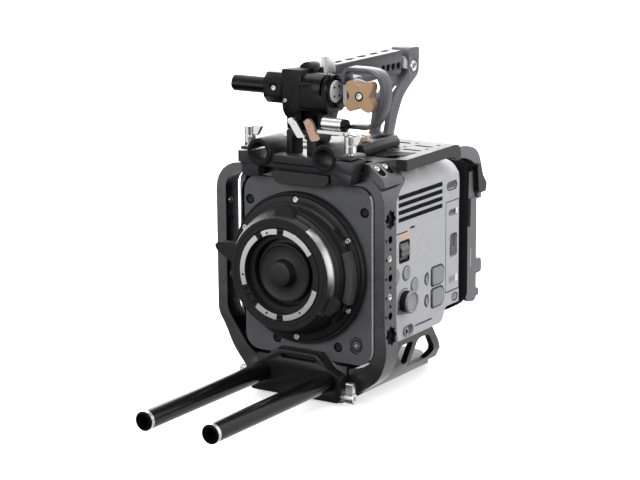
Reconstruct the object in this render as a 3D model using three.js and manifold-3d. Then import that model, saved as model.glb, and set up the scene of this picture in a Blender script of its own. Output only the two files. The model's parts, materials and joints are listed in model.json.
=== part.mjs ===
// Cinema camera rig: a box camera in a half cage, with a lens mount, lens rods,
// a top handle and a monitor bracket. Millimetres, +Z up, the lens looks along -Y.
// The origin is on the base's underside, under the lens axis, in the front plate's face.

import * as THREE from "three";
import { mergeVertices } from "three/addons/utils/BufferGeometryUtils.js";
import Module from "manifold-3d";

const wasm = await Module();
wasm.setup();

// ---------------------------------------------------------------- driving dimensions

const GAP = 0.3; // between pieces that touch
const RUNNING = 0.08; // radial clearance of a sliding rod in its bore

const ROD = { radius: 7.5, x: 30, z: 17.9, front: -168, length: 200, bore: 5.4, boreDepth: 14 };
const TOP_ROD = { x: 30, z: 194.8, radius: 10.7, front: -13.3, back: 15 };

const LENS_Z = 104.1; // height of the lens axis
const PLATE = { left: -53.2, right: 64.7, bottom: 31.5, top: 173, thick: 6, corner: 13 };
const CAGE = { left: -80.8, right: 75.5, top: 181.5, front: 1, back: 18.8, corner: 22 };
const CAGE_INSIDE = { left: -71.8, right: 67, top: 173.6, corner: 13 };

const BODY = { side: 70.5, bottom: 46.3, top: 178.5, front: 19.1, back: 127, corner: 18, skin: 4.5 };
const PANEL_STEPS = 5; // steps round the camera's top edge
const CHASSIS = { side: 65.6, top: 173.5, corner: 13.2, wall: 3 };
const REAR = { side: 66, front: 127.3, back: 150, bottom: 47, top: 176 };
const BAY = { side: 40, front: 150.3, back: 199.5, bottom: 42, top: 164 };

const TOP = { side: 76, rail: 71, bottom: 182, top: 191, front: 2, back: 112 };
const BASE = { side: 40, front: -5.5, back: 139, floor: 8, top: 46 };

const FLANGE = { radius: 60.5, step: 49.5, bore: 38 };
const TUBE_BORE = 27; // clear bore of the lens mount

const HANDLE = { left: 1.5, right: 18.5, bottom: 242, top: 261.5, front: 24, back: 124 };
const MOUNT = { y: 7, z: 244, radius: 13 }; // axis of the monitor bracket's barrel

// ---------------------------------------------------------------- finishes

const finish = (color, roughness, metalness) =>
  new THREE.MeshStandardMaterial({ color, roughness, metalness });

const BLACK_METAL = finish(0x26272a, 0.5, 0.6);
const GREY_METAL = finish(0x4a4c50, 0.5, 0.6);
const SILVER_PANEL = finish(0xb9babd, 0.55, 0.3);
const BRIGHT_STEEL = finish(0xd6d5d2, 0.25, 1);
const GOLD = finish(0xb99268, 0.4, 0.9);
const COPPER = finish(0xcfae9c, 0.4, 0.9);
const BLACK_PLASTIC = finish(0x1b1b1d, 0.6, 0);
const GREY_PLASTIC = finish(0x85868c, 0.55, 0);
const RUBBER = finish(0x222222, 0.85, 0);
const CIRCUIT = finish(0x1d4a32, 0.6, 0);
const GLASS = finish(0x30363c, 0.1, 0);

// ---------------------------------------------------------------- outlines

/** A closed outline through [u, v, corner radius] points; a corner with no radius stays sharp. */
function outline(points) {
  const shape = new THREE.Shape();
  const count = points.length;
  points.forEach(([u, v, radius = 0], i) => {
    const corner = new THREE.Vector2(u, v);
    const before = new THREE.Vector2(...points[(i + count - 1) % count]).sub(corner);
    const after = new THREE.Vector2(...points[(i + 1) % count]).sub(corner);
    const start = corner.clone().add(before.setLength(radius));
    const end = corner.clone().add(after.setLength(radius));
    if (i === 0) shape.moveTo(start.x, start.y);
    else shape.lineTo(start.x, start.y);
    if (radius > 0) shape.bezierCurveTo(...bend(start, corner), ...bend(end, corner), end.x, end.y);
  });
  shape.closePath();
  return shape;
}

/** The Bezier handle that makes a square corner's curve close to a round arc. */
const bend = (from, corner) => from.clone().lerp(corner, 0.55).toArray();

const rectangle = (u0, v0, u1, v1, radius = 0) =>
  outline([[u0, v0, radius], [u1, v0, radius], [u1, v1, radius], [u0, v1, radius]]);

// ---------------------------------------------------------------- solids

// How an outline's (u, v) lies for each direction of extrusion: x takes (y, z), y takes (x, z).
const LAY = {
  x: new THREE.Matrix4().set(0, 0, 1, 0, 1, 0, 0, 0, 0, 1, 0, 0, 0, 0, 0, 1),
  y: new THREE.Matrix4().set(1, 0, 0, 0, 0, 0, -1, 0, 0, 1, 0, 0, 0, 0, 0, 1),
  z: new THREE.Matrix4(),
};

/** An outline pushed from one place to another along an axis. */
function prism(axis, shape, from, to, smooth = 3) {
  const depth = to - from;
  const geometry = new THREE.ExtrudeGeometry(shape, { depth, bevelEnabled: false, curveSegments: smooth });
  geometry.applyMatrix4(LAY[axis]);
  const shift = { x: [from, 0, 0], y: [0, to, 0], z: [0, 0, from] }[axis];
  return solid(geometry.translate(...shift));
}

const box = (x0, x1, y0, y1, z0, z1) => prism("z", rectangle(x0, y0, x1, y1), z0, z1);

/** A turned piece: [radius, place along the axis] points, round an axis through `at`. */
function turned(axis, at, profile, sides = 24) {
  const points = profile.map(([radius, along]) => new THREE.Vector2(radius, along));
  const geometry = new THREE.LatheGeometry(points, sides);
  if (axis === "x") geometry.rotateZ(-Math.PI / 2);
  if (axis === "z") geometry.rotateX(Math.PI / 2);
  return solid(geometry.translate(...at));
}

/** A tube's or ring's profile as a closed loop. */
const ring = (inner, outer, from, to) =>
  [[inner, from], [outer, from], [outer, to], [inner, to], [inner, from]];

/** A cylinder between two places along an axis. */
const rod = (axis, at, radius, from, to, sides = 16) =>
  turned(axis, at, [[0, from], [radius, from], [radius, to], [0, to]], sides);

/** A closed geometry as a solid that can be cut and joined. */
function solid(geometry) {
  const bare = new THREE.BufferGeometry();
  bare.setAttribute("position", geometry.getAttribute("position").clone());
  if (geometry.index) bare.setIndex(geometry.index.clone());
  const merged = mergeVertices(bare, 1e-4);
  const corners = [];
  for (let i = 0; i < merged.index.count; i += 3) {
    const [a, b, c] = [0, 1, 2].map((k) => merged.index.getX(i + k));
    if (a !== b && b !== c && c !== a) corners.push(a, b, c);
  }
  const mesh = { numProp: 3, vertProperties: merged.getAttribute("position").array };
  const made = new wasm.Manifold(new wasm.Mesh({ ...mesh, triVerts: new Uint32Array(corners) }));
  if (made.volume() > 0) return made;
  for (let i = 0; i < corners.length; i += 3) [corners[i], corners[i + 1]] = [corners[i + 1], corners[i]];
  return new wasm.Manifold(new wasm.Mesh({ ...mesh, triVerts: new Uint32Array(corners) }));
}

const join = (...pieces) => pieces.reduce((whole, piece) => whole.add(piece));
const cut = (whole, ...tools) => whole.subtract(join(...tools));
const mirrored = (piece) => piece.mirror([1, 0, 0]);

/** A named mesh of a solid. */
function part(name, piece, material) {
  const { vertProperties, triVerts } = piece.getMesh();
  const geometry = new THREE.BufferGeometry();
  geometry.setAttribute("position", new THREE.BufferAttribute(new Float32Array(vertProperties), 3));
  geometry.setIndex(new THREE.BufferAttribute(new Uint32Array(triVerts), 1));
  geometry.computeVertexNormals();
  const mesh = new THREE.Mesh(geometry, material);
  mesh.name = name;
  return mesh;
}

function group(...members) {
  const made = new THREE.Group();
  made.add(...members.flat());
  return made;
}

// ---------------------------------------------------------------- base and lens rods

function basePlate() {
  const floor = prism("z", outline([
    [-BASE.side, BASE.front, 3], [BASE.side, BASE.front, 3],
    [BASE.side, BASE.back, 20], [-BASE.side, BASE.back, 20],
  ]), 0, BASE.floor);
  const half = [[40, 0], [50, 8], [60, 20], [66.5, 38], [70, BASE.top], [65, BASE.top], [61.5, 38], [55, 21],
    [46.5, 11], [38, BASE.floor]];
  const walls = [prism("y", outline(half), BODY.front, BASE.back)];
  walls.push(mirrored(walls[0]));
  const sweep = prism("x", outline([
    [84, 47], [97, 37, 5], [108, 28, 5], [115, 20, 5], [125, BASE.floor + 0.1], [150, BASE.floor + 0.1],
    [150, 60], [84, 60],
  ]), -90, 90);
  const tail = prism("z", outline([
    [45, 112], [60, 112], [60, 150], [-60, 150], [-60, 112], [-45, 112], [-BASE.side, BASE.back, 14],
    [BASE.side, BASE.back, 14],
  ]), -1, BASE.floor + 1);
  const frontWindow = prism("x", outline([[40, 31, 3], [55, 20, 2], [60, 20, 2], [60, 40, 4], [40, 40, 3]]), 0, 90, 4);
  const rearWindow = prism("x", outline([
    [67, 14, 5], [106, 14, 6], [103, 24, 4], [84, 40, 5], [67, 40, 4],
  ]), 0, 90, 5);
  const farWindow = prism("x", outline([[67, 22, 4], [101, 22, 3], [84, 40, 5], [67, 40, 4]]), -90, 0, 4);
  return cut(join(floor, ...walls), sweep, tail, frontWindow, rearWindow, farWindow);
}

function rodBlock() {
  const face = prism("y", outline([
    [-42, 1.5, 3], [42, 1.5, 3], [42, 22, 2], [31, 27, 2], [21, 38, 3], [-18, 38, 3], [-31, 27, 2], [-42, 22, 2],
  ]), -11, BASE.front - GAP);
  const neck = prism("y", outline([
    [-42, BASE.floor + GAP], [42, BASE.floor + GAP], [42, 22], [31, 27], [21, 38], [-18, 38], [-31, 27], [-42, 22],
  ]), BASE.front - 2 * GAP, 0);
  const sleeve = prism("y", outline([
    [-38, BASE.floor + GAP], [38, BASE.floor + GAP], [42, 12], [42, 29], [-42, 29], [-42, 12],
  ]), -2 * GAP, 40);
  const bores = [-1, 1].map((side) =>
    rod("y", [side * ROD.x, 0, ROD.z], ROD.radius + RUNNING, -12, 41, 24));
  const slot = prism("y", rectangle(-13, 31.3, 20, 34.6, 1.4), -12, -4);
  return cut(join(face, neck, sleeve), ...bores, slot);
}

function lensRod(side) {
  const back = ROD.front + ROD.length;
  return turned("y", [side * ROD.x, 0, ROD.z], [
    [0, ROD.front + ROD.boreDepth], [ROD.bore, ROD.front + ROD.boreDepth], [ROD.bore, ROD.front],
    [ROD.radius - 1, ROD.front], [ROD.radius, ROD.front + 1], [ROD.radius, back - 1],
    [ROD.radius - 1, back], [0, back],
  ]);
}

const ROD_LEVER = { y: -8, z: 6.6 };

function rodLever() {
  const at = [0, ROD_LEVER.y, ROD_LEVER.z];
  const stem = rod("x", at, 2.4, 42 + GAP, 47, 10);
  const head = rod("x", at, 4.4, 46, 54, 14);
  const paddle = prism("x", outline([
    [-10, 6], [-6, 6], [-6.3, 19.2, 1.5], [-9.7, 19.2, 1.5],
  ]), 46.6, 53.4, 3);
  return join(stem, head, paddle);
}

// ---------------------------------------------------------------- cage

const CHEEK_HOLES = { y: 9.8, top: 132.6, pitch: 15.1, count: 5 };
const ROSETTES = [148.3, 56.5];

/** A star-shaped recess that keys an accessory against turning. */
function rosette(z) {
  const corners = [];
  for (let i = 0; i < 16; i++) {
    const radius = i % 2 ? 6.2 : 8.2;
    const angle = (Math.PI * i) / 8;
    corners.push([CHEEK_HOLES.y + radius * Math.cos(angle), z + radius * Math.sin(angle)]);
  }
  const star = prism("x", outline(corners), 72.8, 80);
  return join(star, rod("x", [0, CHEEK_HOLES.y, z], 3.4, 70, 80, 12));
}

/** The oblong counterbores in the cage's top corner, square to its rounded face. */
function shoulderPocket(y) {
  const pocket = prism("z", rectangle(-9.6, -4.6, 9.6, 4.6, 4.5), -3.4, 12, 4);
  return pocket.rotate([0, 27, 0]).translate([66, y, 178.6]);
}

function cageFront() {
  const frame = prism("y", outline([
    [-43, 8.3], [-50, 8.6], [-57, 19, 4], [-63, 26, 4], [-68, 34, 4], [-73.5, 46, 5], [CAGE.left, 58, 5],
    [CAGE.left, CAGE.top, CAGE.corner], [CAGE.right, CAGE.top, CAGE.corner], [CAGE.right, 62, 10],
    [78, 40, 9], [70.5, 22, 5], [62, 15, 5], [52, 8.6], [43, 8.3],
    [43, 27], [58, 30.5, 5], [CAGE_INSIDE.right, 40, 5],
    [CAGE_INSIDE.right, CAGE_INSIDE.top, CAGE_INSIDE.corner],
    [CAGE_INSIDE.left, CAGE_INSIDE.top, CAGE_INSIDE.corner],
    [CAGE_INSIDE.left, 60, 5], [-62, 46, 5], [-52, 32, 5], [-43, 26],
  ]), CAGE.front, CAGE.back, 6);
  const corner = prism("y", outline([
    [50, 156], [CAGE.right, 156], [CAGE.right, CAGE.top, CAGE.corner], [50, CAGE.top],
  ]), CAGE.back - 0.5, 42, 6);
  const camera = prism("y", outline([
    [40, 150], [BODY.side + GAP, 150], [BODY.side + GAP, BODY.top + GAP, BODY.corner], [40, BODY.top + GAP],
  ]), CAGE.back - 1, 45, PANEL_STEPS);
  const slope = prism("x", outline([[18, 150], [46, 150], [46, 178], [40, 173, 4], [25, 167, 5], [18.7, 160]]), 40, 80);
  const shoulder = cut(corner, camera, slope);
  const holes = [];
  for (let i = 0; i < CHEEK_HOLES.count; i++) {
    const z = CHEEK_HOLES.top - i * CHEEK_HOLES.pitch;
    holes.push(rod("x", [0, CHEEK_HOLES.y, z], 3.1, 71, 80, 12));
    holes.push(rod("x", [0, 3.7, z], 1.3, 72, 80, 8));
    if (i > 0) holes.push(rod("x", [0, CHEEK_HOLES.y, z + CHEEK_HOLES.pitch / 2], 1.5, 71, 80, 8));
  }
  return cut(join(frame, shoulder, mirrored(shoulder).translate([-5.3, 0, 0])), ...holes,
    ...ROSETTES.map(rosette), shoulderPocket(10), shoulderPocket(27));
}

const cageFloor = () => prism("z", rectangle(-60.5, BODY.front, 60.5, 96, 6), 41, 45.7);

function topPlate() {
  const sheet = prism("z", outline([
    [-60, TOP.front], [-57, TOP.front], [-57, 15.6], [-18.5, 15.6], [-18.5, TOP.front],
    [18.5, TOP.front], [18.5, 15.6], [57, 15.6], [57, TOP.front], [60, TOP.front],
    [61.5, 18, 2], [68, 31], [TOP.side, 33, 2], [TOP.side, TOP.back, 6], [-TOP.side, TOP.back, 6],
    [-TOP.side, 33, 2], [-68, 31], [-61.5, 18, 2],
  ]), TOP.bottom, TOP.top);
  const rail = prism("x", outline([
    [34, TOP.bottom], [109, TOP.bottom, 3], [112, 177.6, 2], [119, 177.6, 3], [120, TOP.top, 9], [34, TOP.top],
  ]), TOP.rail, TOP.side);
  const openings = [];
  for (let row = 0; row < 4; row++) {
    for (const x of [-58, -34, 34, 58]) {
      const shift = Math.abs(x) > 40 ? 0 : 6;
      const y = 34 + row * 19 + shift;
      openings.push(prism("z", rectangle(x - 8.5, y - 1.95, x + 8.5, y + 1.95, 1.9), 170, 200, 2));
    }
  }
  for (let row = 0; row < 4; row++) {
    for (const x of [-46, -24, 46, 66]) {
      openings.push(rod("z", [x, 43.5 + row * 19, 0], 1.9, 170, 200, 6));
    }
  }
  return cut(join(sheet, rail, mirrored(rail)), ...openings);
}

// ---------------------------------------------------------------- camera body

/** The camera's side view: a step under the rear, and a rounded top rear corner. */
const sideView = () => outline([
  [BODY.front, BODY.bottom], [100, BODY.bottom, 5], [105, 58, 3], [BODY.back, 58], [BODY.back, 182, 17],
  [BODY.front, 182],
]);

const VENT = { from: 30.4, to: 99.5, top: 160.5, pitch: 5.87, height: 3.6, count: 4 };
const DOOR = { front: 105.3, bottom: 69.5, top: 143.8 };
const LATCH = { front: 112, back: 124, bottom: 97.2, top: 116.6 };
const THUMBWHEEL = { y: 39.4, z: 117.2, x: 63.3, radius: 9.2, width: 12.4 };
const ROUND_BUTTONS = [
  { name: "assign_button_upper", y: 42.4, z: 99, radius: 5.4 },
  { name: "assign_button_lower", y: 55.3, z: 86.7, radius: 5.4 },
  { name: "assign_button_front", y: 26.2, z: 98.7, radius: 5.4 },
];
const WIDE_BUTTONS = [{ name: "record_button", z: 87.3 }, { name: "focus_button", z: 69.5 }];
const WIDE = { front: 82, back: 102, half: 7.4 };
const SWITCH = { y: 45.4, z: 51.8, half: 7.2, high: 3.6 };

/** A side panel's skin, with a rounded top edge, on the +X side. */
function panelSkin() {
  const outer = BODY.side;
  const inner = outer - BODY.skin;
  const section = outline([
    [inner, BODY.bottom], [outer, BODY.bottom], [outer, BODY.top, BODY.corner], [52.5, BODY.top],
    [52.5, BODY.top - BODY.skin], [inner, BODY.top - BODY.skin, BODY.corner - BODY.skin],
  ]);
  const skin = prism("y", section, BODY.front, BODY.back, PANEL_STEPS);
  return skin.intersect(prism("x", sideView(), 40, 80));
}

const wideButton = (z, grow) => outline([
  [WIDE.front - grow, z - WIDE.half - grow, 3], [WIDE.back + grow, z - WIDE.half - grow, WIDE.half],
  [WIDE.back + grow, z + WIDE.half + grow, WIDE.half], [WIDE.front - grow, z + WIDE.half + grow, 3],
]);

function rightPanel() {
  const through = [];
  for (let i = 0; i < VENT.count; i++) {
    const z = VENT.top - i * VENT.pitch;
    through.push(box(60, 75, VENT.from, VENT.to, z - VENT.height / 2, z + VENT.height / 2));
  }
  through.push(prism("x", rectangle(31.8, 109, 46.9, 125.3, 1.5), 60, 75));
  through.push(box(60, 68.6, 31.8, 46.9, 107, 127.4));
  through.push(box(60, 75, DOOR.front - GAP, 130, DOOR.bottom, DOOR.top));
  for (const { y, z, radius } of ROUND_BUTTONS) through.push(rod("x", [0, y, z], radius + GAP, 60, 75));
  for (const { z } of WIDE_BUTTONS) through.push(prism("x", wideButton(z, GAP), 60, 75));
  const recesses = [
    prism("x", rectangle(SWITCH.y - 7.8, 47.4, SWITCH.y + 7.8, 56.2, 4.2), 68.4, 75),
    prism("x", rectangle(56.3, 52.2, 83.4, 53.9, 0.8), 69, 75),
    prism("x", rectangle(48.2, 133, 55.6, 135, 0.9), 68.5, 75),
    prism("x", rectangle(107, 153.2, 122.6, 159.8, 3.2), 69.3, 75),
    prism("x", rectangle(116.4, 60.4, 124.4, 66.3, 2.9), 69.3, 75),
    prism("x", rectangle(71.4, 82.6, 78.2, 92.8, 3.3), 69.2, 75),
    prism("x", rectangle(71.4, 64.6, 78.2, 74.8, 3.3), 69.2, 75),
  ];
  return cut(panelSkin(), ...through, ...recesses);
}

const leftPanel = () => cut(mirrored(panelSkin()), prism("x", rectangle(40, 70, 100, 150, 6), -75, -69.4));

const topCover = () => box(-52.2, 52.2, BODY.front, 118, BODY.top - 4.2, BODY.top);

function chassis() {
  const { side, top, corner, wall } = CHASSIS;
  const section = (inset) => outline([
    [-side + inset, BODY.bottom + inset, 4], [side - inset, BODY.bottom + inset, 4],
    [side - inset, top - inset, corner - inset], [-side + inset, top - inset, corner - inset],
  ]);
  const tube = cut(prism("y", section(0), BODY.front, BODY.back - GAP), prism("y", section(wall), 0, 140));
  const step = prism("x", outline([
    [95, BODY.bottom], [101, BODY.bottom], [106, 58], [BODY.back - GAP, 58], [BODY.back - GAP, 61], [104, 61],
    [98, 49], [95, 49],
  ]), -64, 64);
  const stepped = join(tube, step).intersect(prism("x", sideView(), -80, 80));
  const front = cut(prism("y", rectangle(-60, 50, 64.5, 171, 12), PLATE.thick + GAP, 22),
    rod("y", [0, 0, LENS_Z], 40, 0, 30, 32));
  const wheelRoom = box(60, 70, 31.6, 47.6, 105, 129.4);
  const buttonRoom = ROUND_BUTTONS.map(({ y, z, radius }) => rod("x", [0, y, z], radius + 1, 60, 70));
  const doorRoom = box(60, 70, 108, 124, 74, 140);
  return cut(join(stepped, front), wheelRoom, ...buttonRoom, doorRoom,
    box(60, 70, 80, 104, 60, 96));
}

function mediaDoor() {
  const leaf = box(BODY.side - 4.2, BODY.side, DOOR.front, BODY.back - GAP, DOOR.bottom + GAP, DOOR.top - GAP);
  return cut(leaf,
    prism("x", rectangle(LATCH.front, LATCH.bottom, LATCH.back, LATCH.top, 2.5), 68.2, 75),
    prism("x", rectangle(110.4, 132.6, 124.6, 136.4, 1.7), 69.4, 75));
}

const doorLatch = () => prism("x", rectangle(113.2, 98.6, 122.8, 106, 2), 68.2 + GAP, 70.2);

function frontPlate() {
  const { left, right, bottom, top, corner, thick } = PLATE;
  const sheet = prism("y", rectangle(left, bottom, right, top, corner), 0, thick, 5);
  const screws = [[-47.7, 153.4], [58.2, 153.4], [-23.4, 43.4], [33.7, 43.4]];
  return cut(sheet, rod("y", [0, 0, LENS_Z], 40, -1, 9, 32),
    ...screws.map(([x, z]) => rod("y", [x, 0, z], 3.9, -1, 2.2, 14)),
    cut(rod("y", [50.6, 0, 47.3], 6.4, -1, 0.9, 20), rod("y", [50.6, 0, 47.3], 5.2, -2, 2, 20)));
}

function rearFrame() {
  const { side, front, back, bottom, top } = REAR;
  const shell = prism("y", rectangle(-side, bottom, side, top, 14), front, back, 6);
  const rounding = prism("x", outline([
    [front, bottom], [back, bottom, 9], [back, top, 12], [front, top],
  ]), -70, 70);
  return cut(shell.intersect(rounding), prism("y", rectangle(-52, 62, 52, 160, 8), front - 1, back - 5),
    box(-30, 30, back - 10, back + 1, 70, 150));
}

function batteryBay() {
  const { side, front, back, bottom, top } = BAY;
  const shell = prism("x", outline([
    [front, bottom, 4], [back, bottom, 4], [back, 153], [184, top], [front, top],
  ]), -side, side);
  const ports = [64, 84].map((z) => box(side - 3, side + 1, 170, 184, z, z + 10));
  return cut(shell, box(-side + 4, side - 4, front - 1, 182, bottom + 4, top - 4), ...ports);
}

const rearHood = () => prism("x", outline([
  [BAY.front, 165], [192, 165, 12], [213, 153, 10], [213, 125], [219.5, 125], [219.5, 166, 15],
  [196, 174, 8], [BAY.front, 177],
]), -41, 41, 6);

function batteryPlate() {
  const backing = prism("x", outline([
    [189, 40, 5], [201, 37.5, 2], [207.5, 38, 3], [207.5, 150], [198, 150], [196.5, 104], [189, 104],
  ]), -43, 43);
  const steps = [
    prism("x", outline([[206, 60], [220.5, 60, 3], [220.5, 73, 4], [206, 73]]), -41, 41, 5),
    prism("x", outline([[206, 40], [216, 40, 2], [216, 46, 2], [206, 50]]), -41, 41, 5),
  ];
  const wedge = prism("y", outline([[-13, 78], [13, 78], [19, 118], [-19, 118]]), 203.5, 215);
  const pocket = box(-BAY.side - GAP, BAY.side + GAP, 180, BAY.back + GAP, 30, 160);
  const releaseRoom = box(40.6, 50, 190, 222, 128, 160);
  return cut(join(backing, ...steps), pocket, wedge, releaseRoom);
}

const RELEASE = { y: 206, z: 153 };

const batteryRelease = () => prism("x", outline([
  [203, 157, 2.5], [209.5, 157, 2.5], [212.5, 147, 5], [220, 138.5, 2], [218, 131.5, 2], [206, 131.5, 3],
]), 41 + GAP, 46, 3);

// ---------------------------------------------------------------- controls

function thumbwheel() {
  const { x, y, z, radius, width } = THUMBWHEEL;
  const corners = [];
  const teeth = 18;
  for (let i = 0; i < teeth * 2; i++) {
    const angle = (Math.PI * i) / teeth;
    const reach = radius - (i % 2 ? 1 : 0);
    corners.push([x + reach * Math.cos(angle), z + reach * Math.sin(angle)]);
  }
  return prism("y", outline(corners), y - width / 2, y + width / 2);
}

const MENU_DIAL = { y: 39.6, z: 77.2, radius: 9, from: BODY.side + GAP, to: 78.5 };

function menuDial() {
  const { y, z, radius, from, to } = MENU_DIAL;
  return turned("x", [0, y, z], [
    [0, from], [radius - 0.8, from], [radius - 0.8, to - 3], [radius, to - 2.6], [radius, to - 0.6],
    [radius - 0.6, to], [radius - 2, to], [radius - 2.6, to - 0.5], [0, to - 0.5],
  ], 20);
}

const roundButton = ({ y, z, radius }) => turned("x", [0, y, z], [
  [0, 66.6], [radius, 66.6], [radius, 70.9], [radius - 0.6, 71.4], [0, 71.4],
], 14);

const wideButtonCap = ({ z }) => prism("x", wideButton(z, 0), 66.6, 71.7, 4);

const powerSwitch = () => prism("x",
  rectangle(SWITCH.y - SWITCH.half, SWITCH.z - SWITCH.high, SWITCH.y, SWITCH.z + SWITCH.high, 3.4), 68.4 + GAP, 71.2);

// ---------------------------------------------------------------- lens mount

function mountFlange() {
  const { radius, step, bore } = FLANGE;
  const body = turned("y", [0, 0, LENS_Z], [
    [bore, -GAP], [radius, -GAP], [radius, -6], [radius - 2, -8], [step, -8], [step, -19.5], [bore, -19.5],
    [bore, -GAP],
  ], 36);
  const screws = [];
  for (let i = 0; i < 6; i++) {
    const angle = Math.PI / 2 - (i * Math.PI) / 3;
    screws.push(rod("y", [55 * Math.cos(angle), 0, LENS_Z + 55 * Math.sin(angle)], 2.9, -9, -6.4, 12));
  }
  return cut(body, ...screws);
}

const gripPad = () => {
  const corners = [];
  const ribs = 18;
  for (let i = 0; i <= ribs * 2; i++) {
    const angle = THREE.MathUtils.degToRad(-22 + (44 * i) / (ribs * 2));
    const reach = i % 2 ? 56.8 : 56;
    corners.push([reach * Math.cos(angle), LENS_Z + reach * Math.sin(angle)]);
  }
  for (let i = 8; i >= 0; i--) {
    const angle = THREE.MathUtils.degToRad(-22 + (44 * i) / 8);
    corners.push([(FLANGE.step + 0.6) * Math.cos(angle), LENS_Z + (FLANGE.step + 0.6) * Math.sin(angle)]);
  }
  return cut(prism("y", outline(corners), -15, -8 - GAP),
    ...[30, -30].map((turn) => {
      const angle = THREE.MathUtils.degToRad(turn);
      return rod("y", [55 * Math.cos(angle), 0, LENS_Z + 55 * Math.sin(angle)], 4, -20, 0, 12);
    }));
};

const mountTube = () => turned("y", [0, 0, LENS_Z], [
  [TUBE_BORE, -25.4], [36.4, -25.4], [36.4, -19.8], [FLANGE.bore - GAP, -19.8], [FLANGE.bore - GAP, 12],
  [TUBE_BORE, 12], [TUBE_BORE, -25.4],
], 28);

function lensSeat() {
  const body = turned("y", [0, 0, LENS_Z], ring(31.6, 36.3, -32, -25.7), 36);
  const notches = [45, 135, 225, 315].map((turn) =>
    box(28, 40, -33, -29.4, -3, 3).rotate([0, turn, 0]).translate([0, 0, LENS_Z]));
  return cut(body, ...notches);
}

/** A finger lug of the locking ring, reaching out at an angle in degrees. */
const lug = (angle, reach, wide, tip) => prism("y", outline([
  [44, -wide / 2], [reach, -tip / 2, 1.5], [reach, tip / 2, 1.5], [44, wide / 2],
]), -28.5, -21.5, 3).rotate([0, -angle, 0]).translate([0, 0, LENS_Z]);

function lockingRing() {
  const body = turned("y", [0, 0, LENS_Z], [
    [36.8, -31.4], [44.4, -31.4], [46.8, -27.4], [46.8, -24.4], [48.6, -22.4], [48.6, -19.9], [38.4, -19.9],
    [38.4, -27], [36.8, -27], [36.8, -31.4],
  ], 36);
  return join(body, lug(165.5, 64.3, 17, 7), lug(86, 54.5, 18, 14), lug(-25, 54.5, 17, 12));
}

const portCap = () => turned("y", [0, 0, LENS_Z], [
  [0, -14], [26.6, -14], [26.6, -19], [23.2, -19.6], [23.2, -24.2], [22.2, -24.6], [21.4, -23.6], [11.2, -23.6],
  [10.2, -24.6], [9.8, -30], [8.8, -31.2], [0, -31.2],
], 28);

// ---------------------------------------------------------------- inside the camera

const sensorBlock = () => cut(box(-30, 30, 34, 46, 78, 130), box(-20, 20, 33, 35.5, 88, 120));

const ndFilter = () => turned("y", [0, 0, LENS_Z], [
  [0, 24.8], [20, 24.8], [20, 24], [23, 24], [23, 28], [20, 28], [20, 27.2], [0, 27.2],
], 32);

const mainBoard = () => box(-50, 50, 58, 60, 66, 160);

function heatSink() {
  const fins = [];
  for (let x = -40; x <= 40; x += 8) fins.push(box(x - 1, x + 1, 66, 84, 72, 150));
  return join(box(-42, 42, 63, 67, 72, 150), ...fins);
}

const FAN = { z: 110, from: 92, to: 102, radius: 24 };

function coolingFan() {
  const blades = [];
  for (let i = 0; i < 7; i++) {
    blades.push(box(8, FAN.radius, FAN.from + 1, FAN.to - 1, -1.5, 1.5).rotate([0, (360 * i) / 7, 0]));
  }
  return join(...blades).translate([0, 0, FAN.z]).add(rod("y", [0, 0, FAN.z], 9.5, FAN.from, FAN.to, 20));
}

// ---------------------------------------------------------------- top rod bracket

const KNOB_Y = -6;

function topRodBracket() {
  const { x, z, radius, front, back } = TOP_ROD;
  const barrels = [-1, 1].map((side) => rod("y", [side * x, 0, z], radius, front, back, 24));
  const bores = [-1, 1].map((side) => rod("y", [side * x, 0, z], ROD.radius + 0.1, front - 1, back + 1, 24));
  const bar = box(-x, x, -9, 1.7, 183, 193.5);
  const leftBlock = prism("y", rectangle(-47.6, 183, -x, 198, 2), -12.6, 9);
  const rightBlock = prism("y", rectangle(x, 183, 54, 198, 2), -12.6, 9);
  const feet = [
    prism("y", outline([[-46.5, 184], [-46, 175, 2], [-31, 175, 2], [-31, 184]]), -12.6, 0.7),
    prism("y", outline([[36, 184], [36, 175, 2], [52.5, 175, 2], [54, 184]]), -12.6, 0.7),
  ];
  const apron = box(-20, 34, -6, 0.7, 174, 184);
  const slits = [box(-49, -34, -14, 17, 194.2, 195.6), box(34, 56, -14, 17, 194.2, 195.6)];
  return cut(join(...barrels, bar, leftBlock, rightBlock, ...feet, apron), ...bores, ...slits);
}

const namePlate = () => prism("y", outline([
  [-16, 171, 3], [26, 171, 3], [33, 176, 3], [31, 181, 2], [-19, 181, 2], [-22, 176.5, 3],
]), -9.4, -6 - GAP, 4);

function clampKnob(side, x) {
  const at = [x, KNOB_Y, 0];
  const wing = prism("y", outline([
    [x + side * 2, 206.6], [x + side * 9, 206.2, 1], [x + side * 12.5, 214.5, 1.5], [x + side * 2, 213],
  ]), KNOB_Y - 1.6, KNOB_Y + 1.6, 3);
  return join(rod("z", at, 2.2, 198 + GAP, 203, 8), rod("z", at, 4.7, 202.6, 214, 14), wing);
}

// ---------------------------------------------------------------- handle

function handleFrontLeg() {
  const foot = prism("y", outline([
    [-14, TOP.top + GAP], [-9, TOP.top + GAP], [-9, 207, 2], [4.5, 207, 2], [4.5, TOP.top + GAP],
    [13, TOP.top + GAP], [13, 212.5, 2], [-14, 212.5, 2],
  ]), 2.3, 18);
  const riser = prism("x", outline([
    [4, 205], [18, 200], [34, 226, 8], [42, HANDLE.bottom - GAP], [22.8, HANDLE.bottom - GAP], [22.8, 212.5],
    [4, 212.5],
  ]), HANDLE.left, 15);
  return join(foot, riser);
}

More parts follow.
